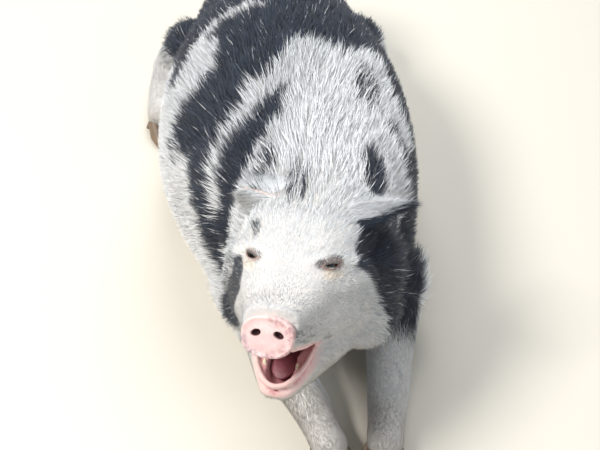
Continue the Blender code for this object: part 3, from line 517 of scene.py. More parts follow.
def eye_place(side):
    """Where the eyeball sits in the world: Y looks out of the eye, X runs along its lids."""
    looks = Vector((side * EYE_LOOKS.x, EYE_LOOKS.y, EYE_LOOKS.z))
    at = Vector((side * EYE_AT.x, EYE_AT.y, EYE_AT.z))
    return HEAD @ Matrix.Translation(at) @ looks.to_track_quat("Y", "Z").to_matrix().to_4x4()


def lip_bars():
    """The rolled rims of the lips."""
    bars = []
    for middle, bend in ((UPPER_LIP_AT, UPPER_LIP_BEND), (LOWER_LIP_AT, LOWER_LIP_BEND)):
        line = lip_line(middle, bend)
        bm = bmesh.new()
        last = len(line) - 1
        radii = [LIP_RADIUS * (0.75 + 0.25 * math.sin(math.pi * i / last)) for i in range(last + 1)]
        chain(bm, [(*p, r) for p, r in zip(line, radii)], HEAD, fineness=2)
        bars.append(object_from(bm, "lip_bar"))
    return bars


def mouth_hollow():
    """The space of the open mouth."""
    bm = bmesh.new()
    hinge = MOUTH_CORNER.y + 0.004
    wedge = [
        Vector((0.12, hinge, MOUTH_CORNER.z)),
        Vector((0.12, UPPER_LIP_AT.y - 0.05, UPPER_LIP_AT.z + 0.010)),
        Vector((0.12, LOWER_LIP_AT.y - 0.06, LOWER_LIP_AT.z - 0.032)),
    ]
    corners = [bm.verts.new(HEAD @ Vector((side * p.x, p.y, p.z))) for side in (1, -1) for p in wedge]
    bmesh.ops.convex_hull(bm, input=corners)
    blob(bm, (0, -0.070, -0.064), (0.031, 0.066, 0.026), HEAD, turn=(-8, 0, 0))
    blob(bm, (0, -0.102, -0.094), (0.022, 0.044, 0.018), HEAD, turn=(28, 0, 0))
    return melted(object_from(bm, "mouth_hollow"), 0.003, 2)


def melt_in(skin, forms, voxel, smoothing):
    """Melts more forms into the skin."""
    bm = bmesh.new()
    bm.from_mesh(skin.data)
    for form in forms:
        form(bm)
    bm.to_mesh(skin.data)
    bm.free()
    melted(skin, voxel, smoothing)


def make_skin():
    """Her whole body, head and tail as one skin, with mouth, lips, lids and sockets, inside the coat."""
    skin = object_from(bmesh.new(), "skin")
    for forms, voxel, smoothing in FLESH_STAGES:
        melt_in(skin, forms, voxel, smoothing)
    combine(skin, [mouth_hollow()], "DIFFERENCE")
    ahead = bmesh.new()
    place = snout_place() @ Matrix.Translation((0, 0.050 - SNOUT_DEPTH - GAP, 0.0075))
    bmesh.ops.create_cube(ahead, size=1, matrix=place @ Matrix.Diagonal((0.12, 0.10, 0.105, 1)))
    combine(skin, [object_from(ahead, "snout_cut")], "DIFFERENCE")
    bars = lip_bars()
    for bar in bars:
        melted(bar, 0.0022, 2)
    combine(skin, bars, "UNION")
    melt_in(skin, (tail_and_lids,), SKIN_VOXEL, 3)
    floor = bmesh.new()
    bmesh.ops.create_cube(floor, size=3.0, matrix=Matrix.Translation((0, 0, -1.5)))
    combine(skin, [object_from(floor, "floor_cut")], "DIFFERENCE")
    thin_body(skin)
    sink_under_coat(skin)
    width, height = LID_OPENING
    opening = ((0, EYE_RADIUS, 0), (width, LID_OPENING_DEPTH, height))
    socket = ((0, 0, 0), [EYE_RADIUS + GAP] * 3)
    for side in (1, -1):
        for middle, radii in (opening, socket):
            hole = bmesh.new()
            blob(hole, middle, radii, eye_place(side))
            combine(skin, [object_from(hole, "hole")], "DIFFERENCE")
    return skin


def points_of(mesh):
    """The mesh's points and the way its skin faces at each, as arrays."""
    count = len(mesh.vertices)
    places = np.empty(count * 3)
    mesh.vertices.foreach_get("co", places)
    facing = np.empty(count * 3)
    mesh.vertex_normals.foreach_get("vector", facing)
    return places.reshape(-1, 3), facing.reshape(-1, 3)


def seen_from(place, places):
    """Places in the frame of the given place."""
    inward = np.array(place.inverted())
    return places @ inward[:3, :3].T + inward[:3, 3]


def in_head(places):
    return seen_from(HEAD, places)


def head_share(q):
    """1 on the head and 0 behind it, for places in its frame."""
    return falling(q[:, 1], 0.06, 0.12)


def smooth_step(value, low, high):
    t = np.clip((value - low) / (high - low), 0, 1)
    return t * t * (3 - 2 * t)


def falling(value, low, high):
    return 1 - smooth_step(value, low, high)


def path_distance(places, path):
    """How far each place is from a line through the path's points, and how far along the line it is."""
    nearest = np.full(len(places), 1e9)
    along = np.zeros(len(places))
    for index, (start, end) in enumerate(zip(path, path[1:])):
        start, end = np.array(start), np.array(end)
        run = end - start
        t = np.clip((places - start) @ run / (run @ run), 0, 1)
        away = np.linalg.norm(places - start - t[:, None] * run, axis=1)
        closer = away < nearest
        nearest[closer] = away[closer]
        along[closer] = (index + t)[closer]
    return nearest, along / (len(path) - 1)


def wobble(places, cell, seed):
    """Smooth noise from about -1 to 1, with blotches of the given size."""
    offset = Vector((seed * 7.3, seed * 3.1, seed * 5.7))
    return np.array([noise.noise(Vector(p) / cell + offset) for p in places])


def leg_lines():
    """The middle line of each leg, from below the elbow or haunch to the fetlock."""
    lines = []
    for side in (1, -1):
        lines.append([Vector(j[:3]) + ORIGIN_SHIFT for j in foreleg_joints(side)[1:]])
        lines.append([Vector(j[:3]) + ORIGIN_SHIFT for j in hindleg_joints(side)[1:]])
    return lines


def leg_share(places):
    """How much each place belongs to a leg, how far down it, and the leg's direction there."""
    share = np.zeros(len(places))
    down = np.zeros(len(places))
    run = np.zeros((len(places), 3))
    for line in leg_lines():
        away, along = path_distance(places, line)
        here = falling(away, 0.046, 0.075)
        better = here > share
        share[better] = here[better]
        down[better] = along[better]
        ahead = np.array((line[-1] - line[0]).normalized())
        run[better] = ahead
    return share, down, run


def coat_length(places, facing):
    """How long the bristles are: longest on the crest, short on the face and legs."""
    q = in_head(places)
    crest = smooth_step(facing[:, 2], 0.2, 0.9) * falling(places[:, 1], -0.02, 0.25)
    body = 0.034 + 0.020 * crest - 0.012 * smooth_step(-facing[:, 2], -0.1, 0.6)
    outward = np.abs(q[:, 0]) / 0.11
    low = smooth_step(-q[:, 2], 0.0, 0.09)
    back = smooth_step(q[:, 1], -0.12, 0.09)
    face = 0.006 + 0.008 * back + 0.018 * back**2
    face += 0.016 * smooth_step(outward, 0.45, 1.0) * smooth_step(q[:, 1], -0.07, 0.03) * (0.4 + 0.6 * low)
    on_head = head_share(q)
    length = body * (1 - on_head) + face * on_head
    share, down, _ = leg_share(places)
    leg = 0.016 - 0.009 * down
    return length * (1 - share) + leg * share


def coat_lie(places, facing):
    """Which way the bristles lie: back from the snout, back and down over the body, and down the legs."""
    q = in_head(places)
    side = np.tanh(places[:, 0] / 0.05)
    up = np.clip(facing[:, 2], 0, 1)
    body = np.stack([side * 0.30 * up, np.ones(len(places)), -0.55 * (1 - up)], axis=1)
    behind = smooth_step(places[:, 1], 0.42, 0.58)
    body += behind[:, None] * np.array((0, -0.4, -1.2))
    from_snout = q - np.array((0, -0.165, 0.0))
    from_snout /= np.linalg.norm(from_snout, axis=1)[:, None]
    from_snout[:, 2] -= 0.30 * smooth_step(np.abs(q[:, 0]), 0.03, 0.10)
    turn = np.array(HEAD)[:3, :3]
    face = from_snout @ turn.T
    on_head = falling(q[:, 1], 0.02, 0.14)[:, None]
    lie = face * on_head + body * (1 - on_head)
    share, _, run = leg_share(places)
    leg = run + np.array((0, 0, -0.25))
    lie = lie * (1 - share[:, None]) + leg * share[:, None]
    lie -= facing * np.sum(lie * facing, axis=1)[:, None]
    return unit(lie)


def mouth_walls():
    """The walls of the mouth's hollow, to tell which skin lies in the mouth."""
    hollow = mouth_hollow()
    corners = [v.co[:] for v in hollow.data.vertices]
    walls = BVHTree.FromPolygons(corners, [p.vertices[:] for p in hollow.data.polygons])
    bpy.data.objects.remove(hollow, do_unlink=True)
    return walls


def in_mouth(places):
    """1 on the walls of the mouth and over the jaw behind the lower lip, and 0 elsewhere."""
    q = in_head(places)
    wet = np.zeros(len(places))
    near = (np.abs(q[:, 0]) < 0.050) & (q[:, 1] < -0.010) & (q[:, 2] < -0.020) & (q[:, 2] > -0.140)
    for index in np.nonzero(near)[0]:
        if MOUTH_WALLS.find_nearest(places[index], 0.0046)[0] is not None:
            wet[index] = 1
    ahead = np.clip((MOUTH_CORNER.y - q[:, 1]) / (MOUTH_CORNER.y - LOWER_LIP_AT.y), 0, 1)
    half_width = MOUTH_CORNER.x * np.sqrt(1 - ahead ** (2 / LOWER_LIP_BEND))
    lip_height = MOUTH_CORNER.z + (LOWER_LIP_AT.z - MOUTH_CORNER.z) * ahead
    over_jaw = (ahead > 0) & (np.abs(q[:, 0]) < half_width) & (np.abs(q[:, 2] - lip_height) < 0.014)
    wet[over_jaw] = 1
    return wet


def from_lips(places):
    """How far each place is from the nearer lip's line."""
    q = in_head(places)
    upper, _ = path_distance(q, lip_line(UPPER_LIP_AT, UPPER_LIP_BEND))
    lower, _ = path_distance(q, lip_line(LOWER_LIP_AT, LOWER_LIP_BEND))
    return np.minimum(upper, lower)


def by_eye(places, side, width, height, middle=(0, 0), fade=(0.7, 1.2)):
    """1 in an oval by the eye, of that half width and half height, fading to 0 between two shares of it."""
    local = seen_from(eye_place(side), places)
    away = np.hypot((local[:, 0] - middle[0]) / width, (local[:, 2] - middle[1]) / height)
    return falling(np.where(np.abs(local[:, 1]) < EYE_REACH, away, 9.0), *fade)


def bare_places(places):
    """Where no bristles grow: behind the snout's rim, on the lips, on the lids and in the mouth."""
    q = in_head(places)
    bare = falling(from_lips(places), 0.006, 0.011)
    lower, _ = path_distance(q, lip_line(LOWER_LIP_AT, LOWER_LIP_BEND))
    bare = np.maximum(bare, falling(lower, 0.016, 0.024) * smooth_step(-q[:, 1], 0.070, 0.110))
    bare = np.maximum(bare, in_mouth(places))
    snout = np.linalg.norm((q - np.array(SNOUT_AT)) * np.array((0.8, 1.0, 1.0)), axis=1)
    bare = np.maximum(bare, falling(snout, 0.028, 0.034))
    for side in (1, -1):
        bare = np.maximum(bare, by_eye(places, side, 0.0125, 0.0062, fade=(0.9, 1.15)))
    return bare


# Her dark markings, as strokes over her skin with how dark each is, then the white ones that lie over them.
# Each stroke is a line of points with a half width there, in millimetres.
DARK_STROKES = (
    ([(-69, 4, 385, 40), (-80, -17, 379, 42), (-110, -22, 362, 36), (-108, -56, 356, 34),
      (-120, -78, 343, 34), (-136, -104, 320, 34), (-150, -134, 291, 35), (-158, -156, 272, 36),
      (-159, -193, 252, 30), (-155, -214, 235, 20), (-151, -222, 221, 24), (-145, -238, 205, 24),
      (-137, -251, 187, 20), (-120, -290, 160, 20)], 1.0),
    ([(-25, -106, 388, 18), (-42, -130, 380, 30), (-66, -158, 361, 34), (-82, -170, 351, 38),
      (-98, -199, 333, 40), (-105, -220, 314, 36), (-104, -233, 305, 32), (-110, -238, 291, 28),
      (-123, -245, 251, 21), (-122, -256, 225, 16)], 0.98),
    ([(-8, -78, 393, 10), (-16, -94, 391, 14)], 0.72),
    ([(-39, -209, 385, 8), (-43, -246, 384, 18), (-49, -259, 379, 21), (-58, -278, 371, 14)], 0.62),
    ([(-1, -286, 410, 10), (2, -321, 414, 17), (-3, -347, 414, 14)], 0.34),
    ([(-14, -300, 407, 4), (-16, -325, 408, 5), (-19, -356, 411, 3)], 0.85),
    ([(12, -305, 414, 5), (6, -330, 416, 6), (1, -357, 415, 4)], 0.85),
    ([(120, -208, 366, 12), (124, -223, 363, 21), (123, -263, 365, 22), (121, -288, 367, 19),
      (116, -313, 371, 14)], 0.95),
    ([(143, 4, 352, 22), (138, -32, 353, 26), (137, -58, 351, 20)], 0.5),
    ([(152, -21, 344, 9), (145, -48, 348, 6)], 0.75),
    ([(174, -96, 314, 9), (181, -107, 305, 13), (190, -112, 290, 17), (198, -122, 275, 21),
      (207, -160, 255, 28), (212, -176, 235, 32), (212, -208, 205, 42)], 1.0),
    ([(215, 104, 180, 80), (215, -73, 185, 70), (205, -166, 175, 70), (195, -258, 185, 60),
      (200, -300, 135, 45), (192, -345, 95, 22)], 1.0),
    ([(144, -415, 290, 46), (152, -370, 240, 60), (165, -330, 180, 55)], 1.0),
    ([(-203, -33, 248, 14), (-202, -52, 240, 16), (-199, -69, 239, 12)], 0.6),
)
WHITE_STROKES = (
    [(-53, -52, 384, 20), (-60, -72, 378, 21), (-67, -90, 373, 13), (-78, -106, 365, 8),
     (-98, -135, 350, 5), (-112, -146, 341, 5), (-121, -159, 331, 6), (-132, -169, 316, 7)],
    [(-139, -200, 296, 2), (-131, -218, 285, 5), (-136, -224, 268, 6), (-141, -227, 249, 4)],
    [(-28, 194, 380, 7), (-60, 202, 371, 11), (-85, 189, 364, 14), (-116, 181, 348, 12),
     (-130, 156, 344, 14), (-150, 139, 329, 20), (-150, 111, 334, 38), (-148, 79, 338, 43),
     (-158, 56, 328, 48), (-180, 50, 306, 50), (-195, 44, 282, 48), (-207, 36, 262, 46)],
    [(195, -9, 297, 11), (208, -34, 275, 13), (215, -46, 258, 13), (219, -64, 245, 12)],
)

# Dark markings of her head, in millimetres in the head's own frame, with how dark and how broken up each
# is: the right cheek, its greyer back, above the right eye, by the mouth's corner and on the muzzle. The grey
# on the muzzle, beside the snout on her left, is partly grey hair and partly painted shade.
HEAD_STROKES = (
    ([(-85, -50, 33, 13), (-84, -59, 23, 16), (-86, -64, 8, 21), (-92, -60, -10, 27), (-100, -49, -34, 31),
      (-106, -34, -58, 28), (-102, -32, -72, 18)], 0.93, 0.0),
    ([(-100, -30, 28, 16), (-110, -15, 5, 20), (-115, -10, -25, 20)], 0.55, 0.3),
    ([(-70, -2, 78, 9), (-65, -13, 74, 8), (-65, -20, 70, 5)], 0.62, 0.0),
    ([(60, -94, -34, 6), (60, -80, -48, 10)], 0.6, 0.6),
    # Partly grey hair and partly painted shade, on the side of the muzzle away from the key light
    ([(30, -160, 10, 6), (40, -154, -6, 11), (48, -130, -18, 14)], 0.45, 0.7),
)

# Where the black of her back begins, from her right side to her left: how far across with how far back, in
# millimetres
SADDLE = (
    (-130, -104), (-85, -59), (-43, -28), (-29, -14), (-18, 2), (-3, 20), (9, 42), (26, 59), (68, 55),
    (81, 42), (110, 50), (146, 79), (171, 98), (182, 90), (188, 31), (200, -44),
)

# Where the black behind her left eye begins: height with how far back, in the same frame
LEFT_CHEEK = ((-120, 50), (-85, 10), (-15, -6), (45, -34), (75, 20))

# Dark spots at the eyes: the side, where beside the eye, and how dark
EYE_SPOTS = ((1, (0.011, 0.003), 0.70), (1, (-0.006, 0.008), 0.55), (-1, (-0.006, 0.004), 0.35))


def outside(places, stroke):
    """How far each place is outside a stroke."""
    stroke = np.array(stroke) / 1000
    away, along = path_distance(places, stroke[:, :3])
    last = len(stroke) - 1
    return away - np.interp(along * last, np.arange(last + 1), stroke[:, 3])


def darkness(places):
    """How dark her coat is at each place, from 0 for white to 1 for blue-black."""
    ragged = 0.6 * wobble(places, 0.030, 1) + 0.4 * wobble(places, 0.011, 2)
    x, y, z = places.T
    front = np.interp(x, *np.array(SADDLE).T / 1000)
    saddle = smooth_step(y - front + 0.012 * ragged, -0.006, 0.008)
    behind = smooth_step(y, 0.16, 0.36)
    lowest = np.where(x < 0, 0.262 - 0.160 * behind, 0.150 - 0.030 * behind)
    saddle *= smooth_step(z - lowest + 0.020 * ragged, -0.010, 0.010)
    dark = saddle
    for stroke, strength in DARK_STROKES:
        edge = outside(places, stroke) + 0.008 * ragged
        dark = np.maximum(dark, strength * falling(edge, -0.004, 0.005))
    for stroke in WHITE_STROKES:
        dark = np.minimum(dark, smooth_step(outside(places, stroke) + 0.005 * ragged, -0.003, 0.005))
    q = in_head(places)
    front = np.interp(q[:, 2], *np.array(LEFT_CHEEK).T / 1000)
    cheek = smooth_step(q[:, 1] - front + 0.007 * ragged, -0.004, 0.006)
    cheek *= smooth_step(q[:, 0] - 0.080 + 0.007 * ragged, -0.004, 0.006)
    cheek *= falling(q[:, 2] - 0.078 + 0.5 * np.clip(q[:, 1] - 0.060, 0, 0.10), -0.004, 0.006)
    dark = np.maximum(dark, cheek * falling(q[:, 1], 0.20, 0.28))
    share, down, _ = leg_share(places)
    dark *= 1 - share * smooth_step(down, 0.05, 0.25)
    for stroke, strength, blotches in HEAD_STROKES:
        edge = outside(q, stroke) + 0.004 * ragged
        patchy = 1 - blotches * smooth_step(wobble(places, 0.007, 4), -0.1, 0.15)
        dark = np.maximum(dark, strength * patchy * falling(edge, -0.003, 0.004))
    for side, middle, strength in EYE_SPOTS:
        dark = np.maximum(dark, strength * by_eye(places, side, 0.012, 0.0075, middle))
    return dark


def thin_body(skin):
    """Keeps the skin fine on the head and makes it coarser over the body."""
    places, _ = points_of(skin.data)
    q = in_head(places)
    body = smooth_step(q[:, 1], 0.03, 0.08)
    group = skin.vertex_groups.new(name="body")
    for index in np.nonzero(body > 0.5)[0]:
        group.add([int(index)], 1.0, "REPLACE")
    thin = skin.modifiers.new("thin", "DECIMATE")
    thin.ratio = BODY_SHARE
    thin.vertex_group = "body"
    thin.use_collapse_triangulate = True
    settle(skin)
    skin.vertex_groups.clear()


def sink_under_coat(skin):
    """Moves the skin inward by the depth of the coat over it, but keeps flats on the floor."""
    places, facing = points_of(skin.data)
    length = coat_length(places, facing)
    bare = bare_places(places)
    face = falling(in_head(places)[:, 1], 0.02, 0.09)
    depth = np.clip(length * 0.20, 0, 0.0060) * (1 - bare) * (0.15 + 0.85 * face)
    depth *= smooth_step(places[:, 2], 0.001, 0.012)
    places = places - facing * depth[:, None]
    places[:, 2] = np.maximum(places[:, 2], 0)
    skin.data.vertices.foreach_set("co", places.ravel())
    skin.data.update()


def set_values(mesh, **values):
    """Stores values for the mesh's points under their names."""
    for name, each in values.items():
        made = mesh.attributes.new(name, "FLOAT", "POINT")
        made.data.foreach_set("value", np.asarray(each, dtype=np.float32))


def paint_skin(skin):
    """Stores on the skin the markings, the bare and wet places, and the painted shade far back in the mouth.
    """
    places, _ = points_of(skin.data)
    bare = bare_places(places)
    wet = in_mouth(places) * smooth_step(from_lips(places), 0.0035, 0.0065)
    left_lid = 0.90 * by_eye(places, 1, 0.020, 0.010, (-0.001, 0.002))
    right_lid = 0.65 * by_eye(places, -1, 0.016, 0.009, (-0.001, 0.002))
    cream = np.zeros(len(places))
    for side in (1, -1):
        cream = np.maximum(cream, by_eye(places, side, *UNDER_EYE))
    set_values(skin.data, dark=darkness(places) * (1 - bare), bare=bare, wet=wet)
    # Painted shade inside the mouth, growing with the distance behind the lips
    set_values(skin.data, deep=smooth_step(from_lips(places), 0.020, 0.048))
    set_values(skin.data, lid=np.maximum(left_lid, right_lid), cream=cream)
    skin.data.shade_smooth()


def scattered(mesh, count, rng, weight):
    """Roots scattered over the mesh: places and the way the skin faces there, by area and weight."""
    mesh.calc_loop_triangles()
    corners = np.empty(len(mesh.loop_triangles) * 3, dtype=np.int32)
    mesh.loop_triangles.foreach_get("vertices", corners)
    corners = corners.reshape(-1, 3)
    places, facing = points_of(mesh)
    a, b, c = (places[corners[:, k]] for k in range(3))
    areas = np.linalg.norm(np.cross(b - a, c - a), axis=1) / 2
    chance = areas * weight((a + b + c) / 3)
    bounds = np.cumsum(chance)
    chosen = np.searchsorted(bounds, rng.random(count) * bounds[-1])
    u, v = rng.random((2, count))
    over = u + v > 1
    u[over], v[over] = 1 - u[over], 1 - v[over]
    shares = np.stack([1 - u - v, u, v], axis=1)
    roots = sum(places[corners[chosen, k]] * shares[:, k : k + 1] for k in range(3))
    ways = sum(facing[corners[chosen, k]] * shares[:, k : k + 1] for k in range(3))
    return roots, ways / np.linalg.norm(ways, axis=1)[:, None]


def mesh_from_arrays(name, places, triangles):
    mesh = bpy.data.meshes.new(name)
    mesh.vertices.add(len(places))
    mesh.vertices.foreach_set("co", places.astype(np.float32).ravel())
    mesh.loops.add(len(triangles) * 3)
    mesh.loops.foreach_set("vertex_index", triangles.astype(np.int32).ravel())
    mesh.polygons.add(len(triangles))
    mesh.polygons.foreach_set("loop_start", np.arange(0, len(triangles) * 3, 3, dtype=np.int32))
    mesh.polygons.foreach_set("use_smooth", np.ones(len(triangles), dtype=bool))
    mesh.update(calc_edges=True)
    made = bpy.data.objects.new(name, mesh)
    bpy.context.scene.collection.objects.link(made)
    return made


def unwrapped(places):
    """Where each root lies on an unwrap of her own shape: body and legs rolled out, head as a disc."""
    q = in_head(places)
    x, y, z = places.T
    around = np.arctan2(x - 0.01, z - 0.17) / (2 * math.pi) + 0.5
    flat = np.stack([0.02 + 0.96 * around, 0.02 + 0.52 * (y + 0.50) / 1.15], axis=1)
    from_middle = q - np.array((0, 0.02, -0.02))
    reach = np.arccos(np.clip(-from_middle[:, 1] / np.linalg.norm(from_middle, axis=1), -1, 1)) / math.pi
    turn = np.arctan2(from_middle[:, 0], from_middle[:, 2])
    head = np.stack([0.24 + 0.22 * reach * np.sin(turn), 0.78 + 0.20 * reach * np.cos(turn)], axis=1)
    on_head = q[:, 1] < 0.09
    flat[on_head] = head[on_head]
    for index, line in enumerate(leg_lines()):
        away, along = path_distance(places, line)
        near = (away < 0.055) & ~on_head
        middle = np.array(line[len(line) // 2])
        roll = np.arctan2(x - middle[0], z - middle[2]) / (2 * math.pi) + 0.5
        strip = np.stack([0.50 + 0.12 * (index + 0.9 * roll), 0.60 + 0.38 * along], axis=1)
        flat[near] = strip[near]
    return flat


def leaders(roots, share, rng):
    """For each tuft, the nearest of the few that the others lean toward."""
    count = max(8, int(len(roots) * share))
    heads = rng.choice(len(roots), count, replace=False)
    tree = kdtree.KDTree(count)
    for slot, index in enumerate(heads):
        tree.insert(roots[index], slot)
    tree.balance()
    return np.array([heads[tree.find(root)[1]] for root in roots])


def unit(ways):
    return ways / np.maximum(np.linalg.norm(ways, axis=1), 1e-6)[:, None]


def brightness(places):
    """How bright the white hair is: less on the head, least on the muzzle, jowls and right ear, and raised on
    top of the head by painted light from above.
    """
    q = in_head(places)
    on_head = head_share(q)
    muzzle = falling(q[:, 1], -0.125, -0.075)
    # Painted light: the top of the head is made brighter, as if lit from above
    lit_forehead = smooth_step(q[:, 2], 0.005, 0.045) * (1 - muzzle)
    under = smooth_step(-q[:, 2], 0.05, 0.11)
    ear = smooth_step(-q[:, 0], 0.050, 0.085) * smooth_step(q[:, 1], 0.035, 0.060)
    ear *= smooth_step(q[:, 2], 0.055, 0.085)
    return 0.92 + on_head * (0.40 * lit_forehead - 0.50 - 0.30 * muzzle - 0.20 * under) - 0.35 * ear


def warmth(places):
    """How much straw has stained the white hair: under the eyes, under the jowls and on the feet."""
    q = in_head(places)
    on_head = head_share(q)
    stain = 0.45 * on_head * smooth_step(-q[:, 2], 0.070, 0.115)
    for side in (1, -1):
        stain = np.maximum(stain, 0.30 * by_eye(places, side, *UNDER_EYE, fade=(0.6, 1.2)))
    _, down, _ = leg_share(places)
    return np.maximum(stain, 0.35 * smooth_step(down, 0.70, 1.0))


def grow_coat(name, surface, tufts, share, rng, coat, material):
    """Grows a share of a coat's tufts. The coat gives weight, length, lie and darkness at each place."""
    weight, length_of, lie_of, dark_of = coat
    count, stations, slim, lift, gather, clump = tufts
    count = int(count * share)
    roots, ways = scattered(surface.data, count, rng, weight)
    length = length_of(roots, ways) * rng.uniform(0.70, 1.2, count)
    lie = lie_of(roots, ways)
    swirl = wobble(roots, 0.045, 5) * 0.35 + wobble(roots, 0.016, 6) * 0.22 + rng.normal(0, 0.15, count)
    lie = unit(lie + np.cross(ways, lie) * swirl[:, None])
    leader = leaders(roots, clump, rng)
    gathered = gather * rng.uniform(0.3, 1.0, count)[:, None]
    shared_tip = roots[leader] + lie[leader] * length[:, None]
    lie = unit((roots + lie * length[:, None]) * (1 - gathered) + shared_tip * gathered - roots)
    chance = rng.random((3, count))
    dark = (dark_of(roots + lie * (0.45 * length)[:, None]) > 0.03 + 0.94 * chance[0]).astype(float)
    dark = np.where(dark > 0.5, chance[1] > 0.020, chance[1] < 0.006).astype(float)
    tone = rng.normal(0, 0.20, count) + 0.30 * wobble(roots, 0.014, 9)
    tone = np.clip(np.where(dark > 0.5, 0.5, brightness(roots)) + tone, 0, 1)
    warm = warmth(roots) * rng.uniform(0.3, 1.2, count)
    width = (0.0005 + slim * length) * rng.uniform(0.8, 1.25, count)
    shades = {"dark": dark, "tone": tone, "warm": warm}
    rise = lift * rng.uniform(0.5, 1.4, count)
    make_tufts(name, roots, ways, lie, length, width, rise, shades, stations, material)


def make_tufts(name, roots, ways, lie, length, width, rise, shades, stations, material):
    """Solid tapered tufts of three sides each, in as many pieces as it takes."""
    count = len(roots)
    across = unit(np.cross(ways, lie))
    rings = len(stations)
    points = rings * 3 + 1
    blades = np.empty((count, points, 3))
    for ring, (t, wide) in enumerate(stations):
        height = rise * (t - 0.62 * t * t) * length - 0.0012 * (t == 0)
        middle = roots + lie * (length * t)[:, None] + ways * height[:, None]
        middle[:, 2] -= 0.04 * length * t * t
        half = (width * wide / 2)[:, None]
        blades[:, ring * 3] = middle - across * half
        blades[:, ring * 3 + 1] = middle + across * half
        blades[:, ring * 3 + 2] = middle + ways * half * 0.55
    blades[:, -1] = roots + lie * length[:, None] + ways * (rise * 0.38 * length)[:, None]
    blades[:, -1, 2] -= 0.04 * length
    blades[:, :, 2] = np.maximum(blades[:, :, 2], 0.0004)
    faces = [(0, 2, 1)]
    for ring in range(rings - 1):
        for k in range(3):
            a, b = ring * 3 + k, ring * 3 + (k + 1) % 3
            faces += [(a, b, b + 3), (a, b + 3, a + 3)]
    top = (rings - 1) * 3
    faces += [(top + k, top + (k + 1) % 3, rings * 3) for k in range(3)]
    faces = np.array(faces)
    along = np.concatenate([np.repeat([t for t, _ in stations], 3), [1.0]])
    patch = np.stack([np.append(np.tile([-1, 1, 0], rings), 0), along * 2 - 1], axis=1) * UNWRAP_PATCH
    flat = unwrapped(roots)
    per_piece = TRIANGLES_PER_PIECE // len(faces)
    for number, start in enumerate(range(0, count, per_piece), 1):
        part = slice(start, min(start + per_piece, count))
        size = part.stop - part.start
        triangles = (faces[None] + (np.arange(size) * points)[:, None, None]).reshape(-1, 3)
        obj = mesh_from_arrays(f"{name}_{number}", blades[part].reshape(-1, 3), triangles)
        for shade, values in shades.items():
            set_values(obj.data, **{shade: np.repeat(values[part], points)})
        set_values(obj.data, along=np.tile(along, size))
        uv = obj.data.uv_layers.new(name="OFBake")
        places = (flat[part][:, None] + patch[None]).reshape(-1, 2)[triangles.ravel()]
        uv.data.foreach_set("uv", places.astype(np.float32).ravel())
        placed(obj, material, "white_coat")


def placed(obj, material, slot, *nodes):
    """Finishes a piece: its material, the body it rides on and the nodes it stands for. The slot is not used.
    """
    obj.data.materials.clear()
    obj.data.materials.append(material)
    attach(obj, "root")
    if nodes:
        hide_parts(*nodes)
    return obj


def snout_material():
    """Moist rhinarium skin: dusty pink, paler in the middle, mauve and grey toward the rim, finely pitted.
    The rim's mottled stain turns into painted shade on her left, and the nostrils hold painted shade.
    """
    made, tree, shader = new_material("moist snout skin", Roughness=0.36, Metallic=0.0, IOR=1.42)
    place = add_node(tree, "ShaderNodeTexCoord", {}, "Object")
    flush = {"Vector": place, "Scale": per_metre(13), "Detail": 5.0, "Roughness": 0.65}
    cloud = add_node(tree, "ShaderNodeTexNoise", flush)
    spots = {"Vector": place, "Scale": per_metre(9), "Detail": 4.0, "Roughness": 0.7}
    blotch = add_node(tree, "ShaderNodeTexNoise", spots)
    rim, nostril, mauve = (
        add_node(tree, "ShaderNodeAttribute", {}, "Fac", attribute_name=name)
        for name in ("rim", "nostril", "mauve")
    )
    pink = {0: cloud, 6: linear("#D6A9A4"), 7: linear("#F6DDDA")}
    colour = add_node(tree, "ShaderNodeMix", pink, **IN_COLOUR)
    stain = add_node(tree, "ShaderNodeMapRange", {"Value": blotch, "From Min": 0.42, "From Max": 0.60})
    rim_stain_and_shade = add_node(tree, "ShaderNodeMath", {0: stain, 1: rim}, operation="MULTIPLY")
    mottled = add_node(tree, "ShaderNodeMath", {0: stain, 1: mauve}, operation="MULTIPLY")
    # The rim's mottled stain is also painted shade on her left; the nostrils' colour is painted shade
    for factor, shade in ((rim_stain_and_shade, "#B98F90"), (mottled, "#8E7C8A"), (nostril, "#3C2024")):
        colour = add_node(tree, "ShaderNodeMix", {0: factor, 6: colour, 7: linear(shade)}, **IN_COLOUR)
    tree.links.new(colour, shader.inputs["Base Color"])
    cells = {"Vector": place, "Scale": per_metre(1.9)}
    pits = add_node(tree, "ShaderNodeTexVoronoi", cells, feature="DISTANCE_TO_EDGE")
    bump = add_node(tree, "ShaderNodeBump", {"Height": pits, "Distance": 0.0008, "Strength": 0.8})
    tree.links.new(bump, shader.inputs["Normal"])
    return made


def tongue_material():
    """Wet flesh of the tongue, dark in the mouth's shade, with small papillae."""
    made, tree, shader = new_material("wet tongue", Roughness=0.28, Metallic=0.0, IOR=1.40)
    place = add_node(tree, "ShaderNodeTexCoord", {}, "Object")
    cloud = add_node(tree, "ShaderNodeTexNoise", {"Vector": place, "Scale": per_metre(14), "Detail": 4.0})
    flesh = {0: cloud, 6: linear("#5A2A34"), 7: linear("#84484F")}
    tree.links.new(add_node(tree, "ShaderNodeMix", flesh, **IN_COLOUR), shader.inputs["Base Color"])
    # Real papillae are about 0.5 mm wide, which is too fine to show
    papillae = add_node(tree, "ShaderNodeTexVoronoi", {"Vector": place, "Scale": per_metre(1.1)})
    bump = add_node(tree, "ShaderNodeBump", {"Height": papillae, "Distance": 0.0005, "Strength": 0.6})
    tree.links.new(bump, shader.inputs["Normal"])
    return made


